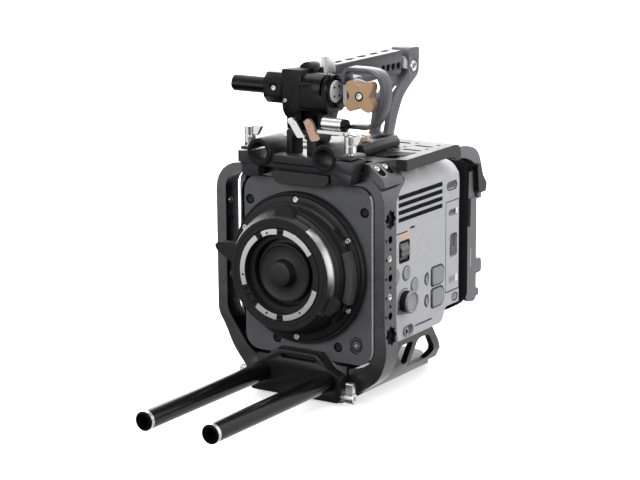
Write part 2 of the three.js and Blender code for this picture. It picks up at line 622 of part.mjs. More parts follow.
function handleBar() {
  const { left, right, bottom, top, front, back } = HANDLE;
  const middle = (left + right) / 2;
  const beam = prism("x", rectangle(front, bottom, back, top, 3), left, right);
  const tongue = prism("x", rectangle(back - 3, 248, 134.3, 257, 2), middle - 4, middle + 4);
  const holes = [[95, 249.6], [103, 249.4], [111, 249.2], [119, 249]].map(([y, z]) =>
    rod("x", [0, y, z], 2.7, 0, 20, 12));
  const slots = [];
  for (let i = 0; i < 5; i++) {
    const y = 33 + i * 18;
    slots.push(prism("z", rectangle(middle - 2.6, y, middle + 2.6, y + 11, 2.5), top - 4, top + 1, 3));
  }
  const ledge = box(right - 0.9, right + 1, front - 1, back + 1, bottom - 1, bottom + 10.5);
  return cut(join(cut(beam, ledge), tongue), ...holes, ...slots);
}

function handleRearArm() {
  const { left, right } = HANDLE;
  const arm = prism("x", outline([
    [98, TOP.top + GAP], [109.5, TOP.top + GAP], [118.5, 213, 8], [126.8, 224.6, 5], [136.5, 231, 5],
    [151, 239.5, 4], [151.7, 261.5, 3], [134.6, 261.5, 2], [134.6, 244, 5], [127.5, 235.5, 5], [114.5, 228.5, 6],
    [106.5, 219, 6], [101.6, 201, 6],
  ]), left, right);
  const hollow = box(left + 4, right - 4, 90, 160, 196, 232);
  const foot = prism("z", rectangle(left - 4, 93, right + 1.5, 112, 3), TOP.top + GAP, 195);
  return cut(join(cut(arm, hollow), foot), rod("x", [0, 142.5, 246], 5.2, right - 2.4, right + 1, 20));
}

const pivotScrew = () => turned("x", [0, 142.5, 246], [
  [0, 16.1 + GAP], [4.8, 16.1 + GAP], [4.8, 18.4], [4.2, 19], [2.2, 19], [1.8, 17.6], [0, 17.6],
], 20);

function accessoryBlock() {
  const body = prism("y", outline([
    [20.5, TOP.top + GAP], [40, TOP.top + GAP], [40, 196], [37.5, 199.5], [23, 199.5], [20.5, 196],
  ]), 30, 84);
  return cut(body, box(26, 34, 60, 78, 197, 201));
}

const ACCESSORY_LEVER = { x: 30.5, y: 46 };

function accessoryLever() {
  const { x, y } = ACCESSORY_LEVER;
  const hub = turned("z", [x, y, 0], [[0, 199.5 + GAP], [4.6, 199.5 + GAP], [4.6, 204.4], [3.8, 205.4], [0, 205.4]], 16);
  const tail = prism("z", outline([[x - 3, y], [x + 3, y], [x + 2.4, y - 14.5, 2], [x - 2.4, y - 14.5, 2]]), 200.3, 203.4, 3);
  return join(hub, tail);
}

// ---------------------------------------------------------------- monitor bracket

function bracketBody() {
  const { y, z, radius } = MOUNT;
  const barrel = prism("x", outline([
    [y - radius, 228, 4], [y + radius, 228, 4], [y + radius, z + radius, 12], [y - radius, z + radius, 12],
  ]), 3, 28, 6);
  const block = prism("y", outline([[-8, 221.5, 3], [4.5, 221.5], [4.5, 260, 1], [-13, 260, 1], [-13, 227, 4]]), -5, 20);
  const disc = rod("y", [1, 0, 257], 7.5, 9, 20.6, 20);
  const shoe = box(-12, 16, 0, 19, 213, 229);
  const groove = cut(prism("x", rectangle(y - 15, z - 2, y + 15, z + 15), 21.6, 23.6),
    rod("x", [0, y, z], radius - 2.4, 10, 30, 20));
  const socket = rod("x", [0, y, z], 9.6, 26, 29, 24);
  const boss = rod("z", [BARREL_LEVER.x, BARREL_LEVER.y, 0], 2.4, 250, BARREL_LEVER.z - GAP, 12);
  return cut(join(barrel, block, disc, shoe, boss), groove, socket);
}

function endDisc() {
  const { y, z } = MOUNT;
  const holes = [45, 135, 225, 315].map((turn) => {
    const angle = THREE.MathUtils.degToRad(turn);
    return rod("x", [0, y + 5 * Math.cos(angle), z + 5 * Math.sin(angle)], 0.9, 28.4, 31, 8);
  });
  return cut(rod("x", [0, y, z], 8.6, 26 + GAP, 29.4, 28), ...holes);
}

const ROD_CLAMP = { left: -30.6, right: -13 - GAP, half: 12, cutCorner: 5.5 };

function rodClamp() {
  const { y, z } = MOUNT;
  const { left, right, half, cutCorner } = ROD_CLAMP;
  const section = outline([
    [y - half + cutCorner, z - half], [y + half - cutCorner, z - half], [y + half, z - half + cutCorner],
    [y + half, z + half - cutCorner], [y + half - cutCorner, z + half], [y - half + cutCorner, z + half],
    [y - half, z + half - cutCorner], [y - half, z - half + cutCorner],
  ]);
  const pinch = rod("y", [-21.4, 0, z], 2.6, y - half - 1, y - half + 3, 12);
  return cut(prism("x", section, left, right), rod("x", [0, y, z], 6.5 + RUNNING, left - 1, right + 1, 20), pinch);
}

const monitorRod = () => turned("x", [0, MOUNT.y, MOUNT.z], [
  [0, -65.5], [5.7, -65.5], [6.5, -64.6], [6.5, -15], [0, -15],
], 20);

const BARREL_LEVER = { x: 25.5, y: 0.2, z: 257.7, top: 272.6 };

function barrelLever() {
  const { x, y, z, top } = BARREL_LEVER;
  const block = prism("z", rectangle(-4.7, -4.3, 4.7, 4.3, 0.8), 0, top - z - 1.6, 2)
    .rotate([0, 0, 60]).translate([x, y, z + 1.6]);
  return join(block, rod("z", [x, y, 0], 2.6, z, z + 2, 12));
}

const STAR = { x: 59.3, z: 244.5, lobe: 15, waist: 8.6, front: -9.4, back: -1.6 };

/** The four-lobed hand knob, turned forty-five degrees, with its clamping stud. */
function starKnob() {
  const { x, z, lobe, waist, front, back } = STAR;
  const corners = [];
  const steps = 32;
  for (let i = 0; i < steps; i++) {
    const angle = (2 * Math.PI * i) / steps;
    const reach = (lobe + waist) / 2 + ((lobe - waist) / 2) * Math.cos(4 * angle - Math.PI);
    corners.push([x + reach * Math.cos(angle), z + reach * Math.sin(angle)]);
  }
  const head = cut(prism("y", outline(corners), front, back), rod("y", [x, 0, z], 3.6, front - 1, front + 1, 16));
  return join(head, rod("y", [x, 0, z], 2.9, back - 1, 9, 12));
}

/** The tilting head: a half collar round the barrel's end, a carrier for the knob, and a guard strap round it. */
function guardLoop() {
  const { x, z } = STAR;
  const outside = outline([
    [40, 218.3], [66, 218.3, 5], [75.6, 230, 6], [78.2, 243, 4], [78.2, 253, 4], [73.5, 263.3, 5], [62, 265.2, 3],
    [44, 265.2, 3], [40, 260],
  ]);
  const inside = outline([
    [30, 221.4], [64.5, 221.4, 4], [72.2, 231, 5], [74.6, 243.3, 4], [74.6, 252.4, 3], [71, 260.3, 4], [61.5, 262, 3],
    [46, 262, 2], [43.5, 259.5], [43.5, 251.5], [30, 251.5],
  ]);
  const strap = cut(prism("y", outside, -4, 8, 5), prism("y", inside, -6, 12, 5), box(30, 47, -10, 20, 215, 225));
  const carrier = prism("y", outline([
    [41, 238], [x - 2, z - 8, 5], [x + 8, z, 5], [x - 0.3, z + 8, 5], [44.5, 256], [40, 256],
  ]), 3, 8);
  const bridge = join(box(41, 46, 3, 17, 238, 256), prism("y", outline([[31.5, 231], [46, 238], [46, 256], [31.5, 257]]), 12, 17));
  const collar = cut(turned("x", [0, MOUNT.y, MOUNT.z], ring(9.8, 13.2, 28 + GAP, 33)),
    box(20, 40, MOUNT.y - 20, MOUNT.y + 1, 220, 270));
  return cut(join(strap, carrier, bridge, collar), rod("y", [x, 0, z], 3, -10, 20, 12),
    rod("x", [0, MOUNT.y, MOUNT.z], 9.8, 20, 33.1, 24));
}

const CYLINDER = { y: -9.6, z: 221.8, from: 26.5, to: 49.2, radius: 5 };

function tensionCylinder() {
  const { y, z, from, to, radius } = CYLINDER;
  const tube = turned("x", [0, y, z], [
    [0, from], [radius - 0.8, from], [radius, from + 0.8], [radius, 39.5], [radius - 0.6, 40], [radius - 0.6, 41.5],
    [radius, 42], [radius, to - 0.8], [radius - 0.8, to], [0, to],
  ], 16);
  const shelf = prism("z", rectangle(24, -14.8, 50, -4 - 2 * GAP, 2), 214.5, 217.2);
  const post = box(23, 26.8, -10, 3, 214.5, 228 - GAP);
  return join(tube, shelf, post);
}

const SILVER_LEVER = { x: -2.2, z: 220.5, across: 9, down: 11.3, half: 3.8 };
const COPPER_LEVER = { x: 12.8, z: 220.5, across: 6.4, down: 12.9, half: 4 };

function tiltLever({ x, z, across, down, half }) {
  const blade = prism("y", outline([
    [x - half, z + 1], [x + half, z + 1, 1], [x + across + half - 0.4, z - down, 1.5],
    [x + across - half + 0.4, z - down - 1.2, 1.5],
  ]), -9, -6.4, 3);
  return join(blade, rod("y", [x, 0, z - 1], 3.2, -9, -5 - GAP, 14));
}

// ---------------------------------------------------------------- assembly

const base = group(
  part("base_plate", basePlate(), BLACK_METAL),
  part("rod_block", rodBlock(), BLACK_METAL),
  part("rod_left", lensRod(-1), BLACK_METAL),
  part("rod_right", lensRod(1), BLACK_METAL),
  part("rod_lever_left", mirrored(rodLever()), BRIGHT_STEEL),
  part("rod_lever_right", rodLever(), BRIGHT_STEEL),
);

const cage = group(
  part("cage_front", cageFront(), BLACK_METAL),
  part("cage_floor", cageFloor(), BLACK_METAL),
  part("top_plate", topPlate(), BLACK_METAL),
  part("front_plate", frontPlate(), GREY_METAL),
);

const camera = group(
  part("chassis", chassis(), BLACK_METAL),
  part("right_panel", rightPanel(), SILVER_PANEL),
  part("left_panel", leftPanel(), SILVER_PANEL),
  part("top_cover", topCover(), SILVER_PANEL),
  part("rear_frame", rearFrame(), BLACK_PLASTIC),
  part("battery_bay", batteryBay(), BLACK_PLASTIC),
  part("rear_hood", rearHood(), GREY_PLASTIC),
  part("battery_plate", batteryPlate(), GREY_PLASTIC),
  part("battery_release", batteryRelease(), BLACK_PLASTIC),
  part("media_door", mediaDoor(), SILVER_PANEL),
  part("door_latch", doorLatch(), GREY_PLASTIC),
);

const controls = group(
  part("filter_thumbwheel", thumbwheel(), BLACK_PLASTIC),
  part("menu_dial", menuDial(), BLACK_PLASTIC),
  ROUND_BUTTONS.map((button) => part(button.name, roundButton(button), GREY_PLASTIC)),
  WIDE_BUTTONS.map((button) => part(button.name, wideButtonCap(button), GREY_PLASTIC)),
  part("power_switch", powerSwitch(), GREY_PLASTIC),
);

const lensMount = group(
  part("mount_flange", mountFlange(), BLACK_METAL),
  part("grip_pad", gripPad(), RUBBER),
  part("mount_tube", mountTube(), BLACK_METAL),
  part("lens_seat", lensSeat(), BRIGHT_STEEL),
  part("locking_ring", lockingRing(), BLACK_METAL),
  part("port_cap", portCap(), BLACK_PLASTIC),
);

const insides = group(
  part("sensor_block", sensorBlock(), GREY_METAL),
  part("nd_filter", ndFilter(), GLASS),
  part("main_board", mainBoard(), CIRCUIT),
  part("heat_sink", heatSink(), BRIGHT_STEEL),
  part("cooling_fan", coolingFan(), BLACK_PLASTIC),
);

const topBracket = group(
  part("top_rod_bracket", topRodBracket(), BLACK_METAL),
  part("name_plate", namePlate(), BLACK_METAL),
  part("clamp_knob_left", clampKnob(1, -42.6), BRIGHT_STEEL),
  part("clamp_knob_right", clampKnob(1, 49.5), BRIGHT_STEEL),
);

const handle = group(
  part("handle_front_leg", handleFrontLeg(), BLACK_METAL),
  part("handle_bar", handleBar(), BLACK_METAL),
  part("handle_rear_arm", handleRearArm(), GREY_METAL),
  part("handle_screw", pivotScrew(), BRIGHT_STEEL),
  part("accessory_block", accessoryBlock(), BLACK_METAL),
  part("accessory_lever", accessoryLever(), COPPER),
);

const monitorBracket = group(
  part("bracket_body", bracketBody(), BLACK_METAL),
  part("end_disc", endDisc(), BRIGHT_STEEL),
  part("rod_clamp", rodClamp(), BLACK_METAL),
  part("monitor_rod", monitorRod(), BLACK_METAL),
  part("barrel_lever", barrelLever(), BRIGHT_STEEL),
  part("star_knob", starKnob(), GOLD),
  part("guard_loop", guardLoop(), GREY_METAL),
  part("tension_cylinder", tensionCylinder(), BRIGHT_STEEL),
  part("tilt_lever_silver", tiltLever(SILVER_LEVER), BRIGHT_STEEL),
  part("tilt_lever_copper", tiltLever(COPPER_LEVER), COPPER),
);

export default group(base, cage, camera, controls, lensMount, insides, topBracket, handle, monitorBracket);
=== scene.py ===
"""Looks of the cinema camera rig: camera, studio light and finishes, with fine pieces round the CAD frame.

Lengths are millimetres until piece() scales them. +Z is up, and the lens looks along -Y.
"""

import json
import math

import bmesh
import bpy
from mathutils import Matrix, Vector


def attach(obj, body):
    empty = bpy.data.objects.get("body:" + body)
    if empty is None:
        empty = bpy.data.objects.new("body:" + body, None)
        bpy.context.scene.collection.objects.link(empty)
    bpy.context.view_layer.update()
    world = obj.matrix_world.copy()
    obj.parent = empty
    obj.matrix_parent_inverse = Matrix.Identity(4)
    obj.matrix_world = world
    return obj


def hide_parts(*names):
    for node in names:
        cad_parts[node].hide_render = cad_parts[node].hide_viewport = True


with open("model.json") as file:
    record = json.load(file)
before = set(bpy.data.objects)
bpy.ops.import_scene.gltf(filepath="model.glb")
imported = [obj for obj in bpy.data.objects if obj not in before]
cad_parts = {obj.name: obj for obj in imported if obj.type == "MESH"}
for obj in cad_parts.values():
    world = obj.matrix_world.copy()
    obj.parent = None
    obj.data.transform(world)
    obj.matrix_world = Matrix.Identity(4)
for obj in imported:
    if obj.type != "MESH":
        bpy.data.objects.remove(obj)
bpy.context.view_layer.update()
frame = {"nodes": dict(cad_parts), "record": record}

NODES = frame["nodes"]
BODY_OF = {node: body for body, nodes in frame["record"]["behaviour"]["bodies"].items() for node in nodes}
SLOT_OF = {subpart["node"]: subpart["material_slot"] for subpart in frame["record"]["subparts"]}
ROOT = BODY_OF["base_plate"]

# ---------------------------------------------------------------- driving dimensions, in millimetres

MM = 0.001  # one millimetre in metres
SHARP = math.radians(34)  # edges that turn more than this stay crisp

ROD = {"x": 30, "z": 17.9, "radius": 7.5, "bore": 5.4, "front": -168, "back": 32}
TOP_ROD_Z = 194.8  # height of the two bores in the top bracket
LENS_Z = 104.1  # height of the lens axis
LENS = (0, 0, LENS_Z)
LENS_CENTRE = (0, LENS_Z)  # the same axis as x and z, for outlines pushed along Y
PANEL_FACE = 70.5  # outer face of the right panel
CHEEK_FACE = 75.5  # outer face of the cage's right cheek
BARREL = (0, 7, 244)  # axis of the monitor bracket's barrel

# ---------------------------------------------------------------- camera, light and floor

AZIMUTH, ELEVATION, ROLL = (math.radians(angle) for angle in (32.72, 12.79, -0.377))
CAMERA_AT = (0.8950, -1.3655, 0.4961)  # metres
FOCAL_LENGTH = 120.6
SENSOR = 36.0
FLOOR_HALF = 9.0  # metres


def make_camera():
    """A long lens, to the front right of the rig and a little above it."""
    back = Vector((math.sin(AZIMUTH) * math.cos(ELEVATION), -math.cos(AZIMUTH) * math.cos(ELEVATION),
                   math.sin(ELEVATION)))
    level = Vector((math.cos(AZIMUTH), math.sin(AZIMUTH), 0))
    upright = back.cross(level)
    right = level * math.cos(ROLL) + upright * math.sin(ROLL)
    up = back.cross(right)
    data = bpy.data.cameras.new("camera")
    data.lens = FOCAL_LENGTH
    data.sensor_width = SENSOR
    camera = bpy.data.objects.new("camera", data)
    bpy.context.scene.collection.objects.link(camera)
    turn = Matrix((right, up, back)).transposed()
    camera.matrix_world = Matrix.Translation(CAMERA_AT) @ turn.to_4x4()
    bpy.context.scene.camera = camera


def softbox(name, at, aim, size, power):
    """A rectangular lamp, in metres and watts, that the camera doesn't see."""
    data = bpy.data.lights.new(name, "AREA")
    data.shape = "RECTANGLE"
    data.size, data.size_y = size
    data.energy = power
    lamp = bpy.data.objects.new(name, data)
    bpy.context.scene.collection.objects.link(lamp)
    lamp.location = at
    lamp.visible_camera = False
    lamp.rotation_euler = (Vector(at) - Vector(aim)).to_track_quat("Z", "Y").to_euler()


def make_world():
    """White to the camera. As a light it is bright behind and above, and dim on the camera's side."""
    world = bpy.data.worlds.new("studio")
    world.use_nodes = True
    nodes, links = world.node_tree.nodes, world.node_tree.links
    ambient = nodes["Background"]
    ambient.inputs["Color"].default_value = (1, 1, 1, 1)
    place = nodes.new("ShaderNodeTexCoord")
    toward = nodes.new("ShaderNodeVectorMath")
    toward.operation = "DOT_PRODUCT"
    toward.inputs[1].default_value = (-0.35, 0.85, 0.40)  # behind the rig, to its left and above
    links.new(place.outputs["Generated"], toward.inputs[0])
    grade = nodes.new("ShaderNodeMapRange")
    grade.inputs["From Min"].default_value = -0.25
    grade.inputs["From Max"].default_value = 0.9
    grade.inputs["To Min"].default_value = 0.05
    grade.inputs["To Max"].default_value = 1.6
    links.new(toward.outputs["Value"], grade.inputs["Value"])
    links.new(grade.outputs["Result"], ambient.inputs["Strength"])
    backdrop = nodes.new("ShaderNodeBackground")
    backdrop.inputs["Color"].default_value = (1, 1, 1, 1)
    path = nodes.new("ShaderNodeLightPath")
    mix = nodes.new("ShaderNodeMixShader")
    links.new(path.outputs["Is Camera Ray"], mix.inputs[0])
    links.new(ambient.outputs[0], mix.inputs[1])
    links.new(backdrop.outputs[0], mix.inputs[2])
    links.new(mix.outputs[0], nodes["World Output"].inputs["Surface"])
    bpy.context.scene.world = world
    bpy.context.scene.view_settings.view_transform = "Standard"


def make_floor():
    """A pale, faintly glowing floor that the rig's own light bounces don't see."""
    corners = [(FLOOR_HALF * u, FLOOR_HALF * v, 0) for u, v in ((-1, -1), (1, -1), (1, 1), (-1, 1))]
    mesh = bpy.data.meshes.new("floor")
    mesh.from_pydata(corners, [], [(0, 1, 2, 3)])
    floor = bpy.data.objects.new("floor", mesh)
    bpy.context.scene.collection.objects.link(floor)
    material = bpy.data.materials.new("floor")
    material.use_nodes = True
    shader = material.node_tree.nodes["Principled BSDF"]
    shader.inputs["Base Color"].default_value = (0.86, 0.86, 0.865, 1)
    shader.inputs["Roughness"].default_value = 0.5
    shader.inputs["Specular IOR Level"].default_value = 0.3
    shader.inputs["Emission Color"].default_value = (1, 1, 1, 1)
    shader.inputs["Emission Strength"].default_value = 0.52
    mesh.materials.append(material)
    floor.visible_diffuse = floor.visible_glossy = False


def make_lamps():
    softbox("top", (0.1, 0.3, 1.7), (0, 0.03, 0.1), (1.6, 1.6), 26)
    softbox("right", (1.5, 0.35, 0.45), (0.05, 0.05, 0.10), (0.9, 1.2), 12)
    softbox("front_right", (1.3, -0.75, 0.5), (0.0, 0.0, 0.12), (0.4, 0.9), 4)
    softbox("front_high", (-0.1, -1.9, 1.0), (0, 0, 0.14), (1.8, 1.0), 27)
    softbox("front_left", (-1.0, -1.6, 0.2), (0, 0, 0.12), (1.6, 1.0), 6)
    softbox("back_left", (-1.1, 1.7, 0.6), (0, 0.05, 0.2), (2.4, 1.1), 22)
    softbox("left_rim", (-1.3, 0.5, 0.5), (0, 0.05, 0.15), (0.35, 0.9), 8)


make_camera()
make_world()
make_floor()
make_lamps()

# ---------------------------------------------------------------- finishes


def noise(nodes, links, vector, scale, detail=3.0):
    """A noise texture's value, from 0 to 1."""
    made = nodes.new("ShaderNodeTexNoise")
    made.inputs["Scale"].default_value = scale
    made.inputs["Detail"].default_value = detail
    links.new(vector, made.inputs["Vector"])
    return made.outputs["Fac"]


def spread(nodes, links, value, low, high):
    """The noise's usual range, 0.3 to 0.7, spread from low to high."""
    made = nodes.new("ShaderNodeMapRange")
    made.inputs["From Min"].default_value = 0.3
    made.inputs["From Max"].default_value = 0.7
    made.inputs["To Min"].default_value = low
    made.inputs["To Max"].default_value = high
    links.new(value, made.inputs["Value"])
    return made.outputs["Result"]


def finish(name, color, roughness, metallic=0.0, grain=0.02, grain_size=0.5, mottle=0.1, patch=16.0,
           stretch=(1, 1, 1), specular=0.5, swing=0.07):
    """A finish with a faint mottle, a roughness that wanders, and a fine grain `grain` mm deep."""
    material = bpy.data.materials.new(name)
    material.use_nodes = True
    nodes, links = material.node_tree.nodes, material.node_tree.links
    shader = nodes["Principled BSDF"]
    shader.inputs["Metallic"].default_value = metallic
    shader.inputs["Specular IOR Level"].default_value = specular
    place = nodes.new("ShaderNodeTexCoord")
    scale = nodes.new("ShaderNodeMapping")
    scale.inputs["Scale"].default_value = [share / MM for share in stretch]
    links.new(place.outputs["Object"], scale.inputs["Vector"])
    spot = scale.outputs["Vector"]
    broad = noise(nodes, links, spot, 1 / patch)
    fine = noise(nodes, links, spot, 1 / grain_size, 2.0)
    tint = nodes.new("ShaderNodeMix")
    tint.data_type = "RGBA"
    links.new(spread(nodes, links, broad, 0, 1), tint.inputs["Factor"])
    tint.inputs["A"].default_value = [*(channel * (1 - mottle) for channel in color), 1]
    tint.inputs["B"].default_value = [*(min(1, channel * (1 + mottle)) for channel in color), 1]
    links.new(tint.outputs["Result"], shader.inputs["Base Color"])
    both = nodes.new("ShaderNodeMath")
    both.operation = "ADD"
    links.new(spread(nodes, links, broad, roughness - swing, roughness), both.inputs[0])
    links.new(spread(nodes, links, fine, 0, swing), both.inputs[1])
    links.new(both.outputs[0], shader.inputs["Roughness"])
    bump = nodes.new("ShaderNodeBump")
    bump.inputs["Strength"].default_value = 0.6
    bump.inputs["Distance"].default_value = grain * MM
    links.new(fine, bump.inputs["Height"])
    links.new(bump.outputs["Normal"], shader.inputs["Normal"])
    return material


RECIPES = {  # one for each material slot in the frame
    "cage_black": dict(color=(0.0125, 0.0127, 0.0138), roughness=0.38, metallic=0.1, grain=0.03,
                       specular=0.45),
    "plate_grey": dict(color=(0.088, 0.089, 0.095), roughness=0.48, metallic=0.1, grain=0.03, specular=0.4),
    "rod_black": dict(color=(0.003, 0.003, 0.0036), roughness=0.22, grain=0.006, stretch=(1, 0.1, 1),
                      specular=0.35),
    "handle_black": dict(color=(0.033, 0.034, 0.038), roughness=0.3, metallic=0.3, grain=0.03),
    "handle_grey": dict(color=(0.115, 0.115, 0.127), roughness=0.42, metallic=0.2, grain=0.03),
    "loop_grey": dict(color=(0.085, 0.085, 0.095), roughness=0.36, metallic=0.5),
    "bracket_black": dict(color=(0.002, 0.002, 0.0023), roughness=0.3, metallic=0.1, specular=0.2),
    "mount_black": dict(color=(0.014, 0.014, 0.0152), roughness=0.42, specular=0.22),
    "steel": dict(color=(0.78, 0.77, 0.75), roughness=0.3, metallic=1.0, grain=0.004, mottle=0.03,
                  swing=0.03),
    "gold": dict(color=(0.43, 0.28, 0.165), roughness=0.42, metallic=0.6, grain=0.03, grain_size=0.35),
    "copper": dict(color=(0.56, 0.37, 0.29), roughness=0.38, metallic=0.6, grain=0.03, grain_size=0.35),
    "panel_silver": dict(color=(0.47, 0.472, 0.488), roughness=0.5, metallic=0.05, grain=0.06,
                         grain_size=0.45, mottle=0.04, patch=9.0, specular=0.35),
    "body_black": dict(color=(0.001, 0.001, 0.0011), roughness=0.7, grain=0.05, specular=0.03),
    "rear_grey": dict(color=(0.17, 0.168, 0.188), roughness=0.5, grain=0.05, grain_size=0.6, mottle=0.06,
                      specular=0.4),
    "button_grey": dict(color=(0.26, 0.262, 0.272), roughness=0.36, metallic=0.1),
    "dial_black": dict(color=(0.007, 0.007, 0.008), roughness=0.5, grain=0.03, specular=0.2),
    "cap_black": dict(color=(0.008, 0.008, 0.0086), roughness=0.48, grain=0.05, grain_size=0.35,
                      specular=0.45),
    "grip_rubber": dict(color=(0.055, 0.055, 0.058), roughness=0.55, grain=0.03, grain_size=0.6),
    "filter_glass": dict(color=(0.06, 0.065, 0.075), roughness=0.08, grain=0.001),
    "circuit_green": dict(color=(0.01, 0.09, 0.045), roughness=0.5, grain=0.05, grain_size=1.5),
    "sink_aluminium": dict(color=(0.65, 0.65, 0.67), roughness=0.35, metallic=1.0, stretch=(1, 1, 0.1)),
}
FINISHES = {name: finish(name, **recipe) for name, recipe in RECIPES.items()}
PEACH = finish("filter_label_peach", (0.60, 0.42, 0.30), 0.5, mottle=0.05)
# Painted shade: a near-black finish laid in holes, slots and threads and on recess floors where shade falls;
# it also colours a few marks that are black of their own, such as the button lights' crescents and the
# switch's arrow.
BLACK_AND_SHADE = finish("black_and_recess_shade", (0.003, 0.003, 0.003), 0.7, specular=0.1)
LINE = finish("outline_grey", (0.022, 0.022, 0.024), 0.5)
WHITE = finish("marking_white", (0.80, 0.80, 0.79), 0.45, mottle=0.03)
WHEEL_GREY = finish("wheel_grey", (0.10, 0.10, 0.108), 0.45, grain=0.03)
CHEEK = finish("cage_satin", (0.125, 0.125, 0.13), 0.3, 0.97, grain=0.03)
BRIGHT = finish("bright_satin", (0.94, 0.94, 0.94), 0.35, grain=0.01, mottle=0.03)
BRACKET = finish("bracket_satin", (0.034, 0.034, 0.037), 0.4, 0.4, grain=0.03)
# Painted highlight: a bright polished metal, laid only on the spans of edges that catch the light.
POLISHED_HIGHLIGHT = finish("polished_edge_painted_highlight", (0.30, 0.30, 0.30), 0.34, 1.0, grain=0.004, mottle=0.05)
BLACK, GREY, SILVER, BUTTON = (FINISHES[name] for name in ("cage_black", "handle_grey", "panel_silver",
                                                           "button_grey"))

# ---------------------------------------------------------------- shapes, in millimetres

LAY = {  # an outline's (u, v) and the place w along the axis, as x, y, z
    "x": lambda u, v, w: (w, u, v),
    "y": lambda u, v, w: (u, w, v),
    "z": lambda u, v, w: (u, v, w),
}
ACROSS = {"x": (1, 2), "y": (0, 2), "z": (0, 1)}  # which coordinates u and v are
ROUND = 0.55  # how far a rounded corner's handles reach towards the corner, for a near-circular arc


def outline(points, steps=8):
    """A closed outline through (u, v, corner radius) points; a corner with no radius stays sharp."""
    made = []
    for i, (u, v, *rest) in enumerate(points):
        corner = Vector((u, v))
        radius = rest[0] if rest else 0
        if not radius:
            made.append(corner)
            continue
        before = Vector(points[i - 1][:2])
        after = Vector(points[(i + 1) % len(points)][:2])
        start = corner + (before - corner).normalized() * radius
        end = corner + (after - corner).normalized() * radius
        handles = start.lerp(corner, ROUND), end.lerp(corner, ROUND)
        for k in range(steps + 1):
            t = k / steps
            weights = ((1 - t) ** 3, 3 * t * (1 - t) ** 2, 3 * t * t * (1 - t), t ** 3)
            made.append(sum((p * w for p, w in zip((start, *handles, end), weights)), Vector((0, 0))))
    return [tuple(p) for i, p in enumerate(made) if (p - made[i - 1]).length > 1e-4]


def rectangle(u0, v0, u1, v1, radius=0, steps=8):
    """A rectangle between two opposite corners, with its four corners rounded alike."""
    return outline([(u0, v0, radius), (u1, v0, radius), (u1, v1, radius), (u0, v1, radius)], steps)


def polar(centre, radius, degrees):
    """The point at a distance and an angle from a centre."""
    turn = math.radians(degrees)
    return centre[0] + radius * math.cos(turn), centre[1] + radius * math.sin(turn)


def circle(u, v, radius, sides=48):
    """The outline of a circle, as a polygon with its corners on it."""
    return [polar((u, v), radius, 360 * i / sides) for i in range(sides)]


def arc_band(inner, outer, start, end, steps=24, centre=LENS_CENTRE):
    """The outline of a ring's share between two angles in degrees."""
    turns = [start + (end - start) * i / steps for i in range(steps + 1)]
    far = [polar(centre, outer, turn) for turn in turns]
    near = [polar(centre, inner, turn) for turn in reversed(turns)]
    return far + near


def built(vertices, faces):
    """A mesh with its doubles merged and its faces pointing out."""
    mesh = bpy.data.meshes.new("solid")
    mesh.from_pydata(vertices, [], faces)
    work = bmesh.new()
    work.from_mesh(mesh)
    bmesh.ops.remove_doubles(work, verts=work.verts, dist=1e-4)
    bmesh.ops.recalc_face_normals(work, faces=work.faces)
    work.to_mesh(mesh)
    work.free()
    return mesh


def prism(axis, shape, low, high):
    """An outline pushed from one place to another along an axis."""
    count = len(shape)
    vertices = [LAY[axis](u, v, w) for w in (low, high) for u, v in shape]
    sides = [(i, (i + 1) % count, count + (i + 1) % count, count + i) for i in range(count)]
    return built(vertices, [tuple(range(count)), tuple(range(count, 2 * count)), *sides])


def box(x0, x1, y0, y1, z0, z1):
    return prism("z", rectangle(x0, y0, x1, y1), z0, z1)


def turned(axis, at, profile, sides=96):
    """A turned piece: (radius, place along the axis) points, round an axis through `at`."""
    vertices, faces = [], []
    for radius, along in profile:
        for u, v in circle(0, 0, max(radius, 0), sides):
            vertices.append(Vector(LAY[axis](u, v, along)) + Vector(at))
    for ring in range(len(profile) - 1):
        for i in range(sides):
            a, b = ring * sides + i, ring * sides + (i + 1) % sides
            faces.append((a, b, b + sides, a + sides))
    return built(vertices, faces)


def rod(axis, at, radius, low, high, sides=48, soft=0.0):
    """A cylinder, with both ends chamfered by `soft`."""
    if not soft:
        return turned(axis, at, [(0, low), (radius, low), (radius, high), (0, high)], sides)
    return turned(axis, at, [
        (0, low), (radius - soft, low), (radius, low + soft),
        (radius, high - soft), (radius - soft, high), (0, high),
    ], sides)


def ring(axis, at, inner, outer, low, high, soft=0.25, sides=96):
    """A tube's length with chamfered edges."""
    return turned(axis, at, [
        (inner + soft, low), (outer - soft, low), (outer, low + soft), (outer, high - soft),
        (outer - soft, high), (inner + soft, high), (inner, high - soft), (inner, low + soft),
        (inner + soft, low),
    ], sides)


def boolean(whole, tool, operation):
    """One solid cut from, joined to or kept in common with another."""
    first, second = (bpy.data.objects.new("boolean", m) for m in (whole, tool))
    for made in (first, second):
        bpy.context.scene.collection.objects.link(made)
    step = first.modifiers.new("boolean", "BOOLEAN")
    step.operation = operation
    step.solver = "EXACT"
    step.object = second
    graph = bpy.context.evaluated_depsgraph_get()
    result = bpy.data.meshes.new_from_object(first.evaluated_get(graph))
    for made in (first, second):
        bpy.data.objects.remove(made)
    return result


def together(*solids):
    """Several solids as one mesh, without joining them."""
    vertices, faces = [], []
    for solid in solids:
        shift = len(vertices)
        vertices += [v.co[:] for v in solid.vertices]
        faces += [tuple(i + shift for i in p.vertices) for p in solid.polygons]
    mesh = bpy.data.meshes.new("solids")
    mesh.from_pydata(vertices, [], faces)
    return mesh


def join(first, *others):
    """Several solids as one, with no inner faces."""
    for other in others:
        first = boolean(first, other, "UNION")
    return first


def cut(whole, *tools):
    """A solid less its tools, which don't overlap one another."""
    return boolean(whole, together(*tools), "DIFFERENCE")


def moved(mesh, matrix):
    mesh.transform(matrix)
    if matrix.determinant() < 0:
        mesh.flip_normals()
    return mesh


def mirrored(mesh):
    """The same mesh on the other side of the middle plane."""
    return moved(mesh, Matrix.Scale(-1, 4, (1, 0, 0)))


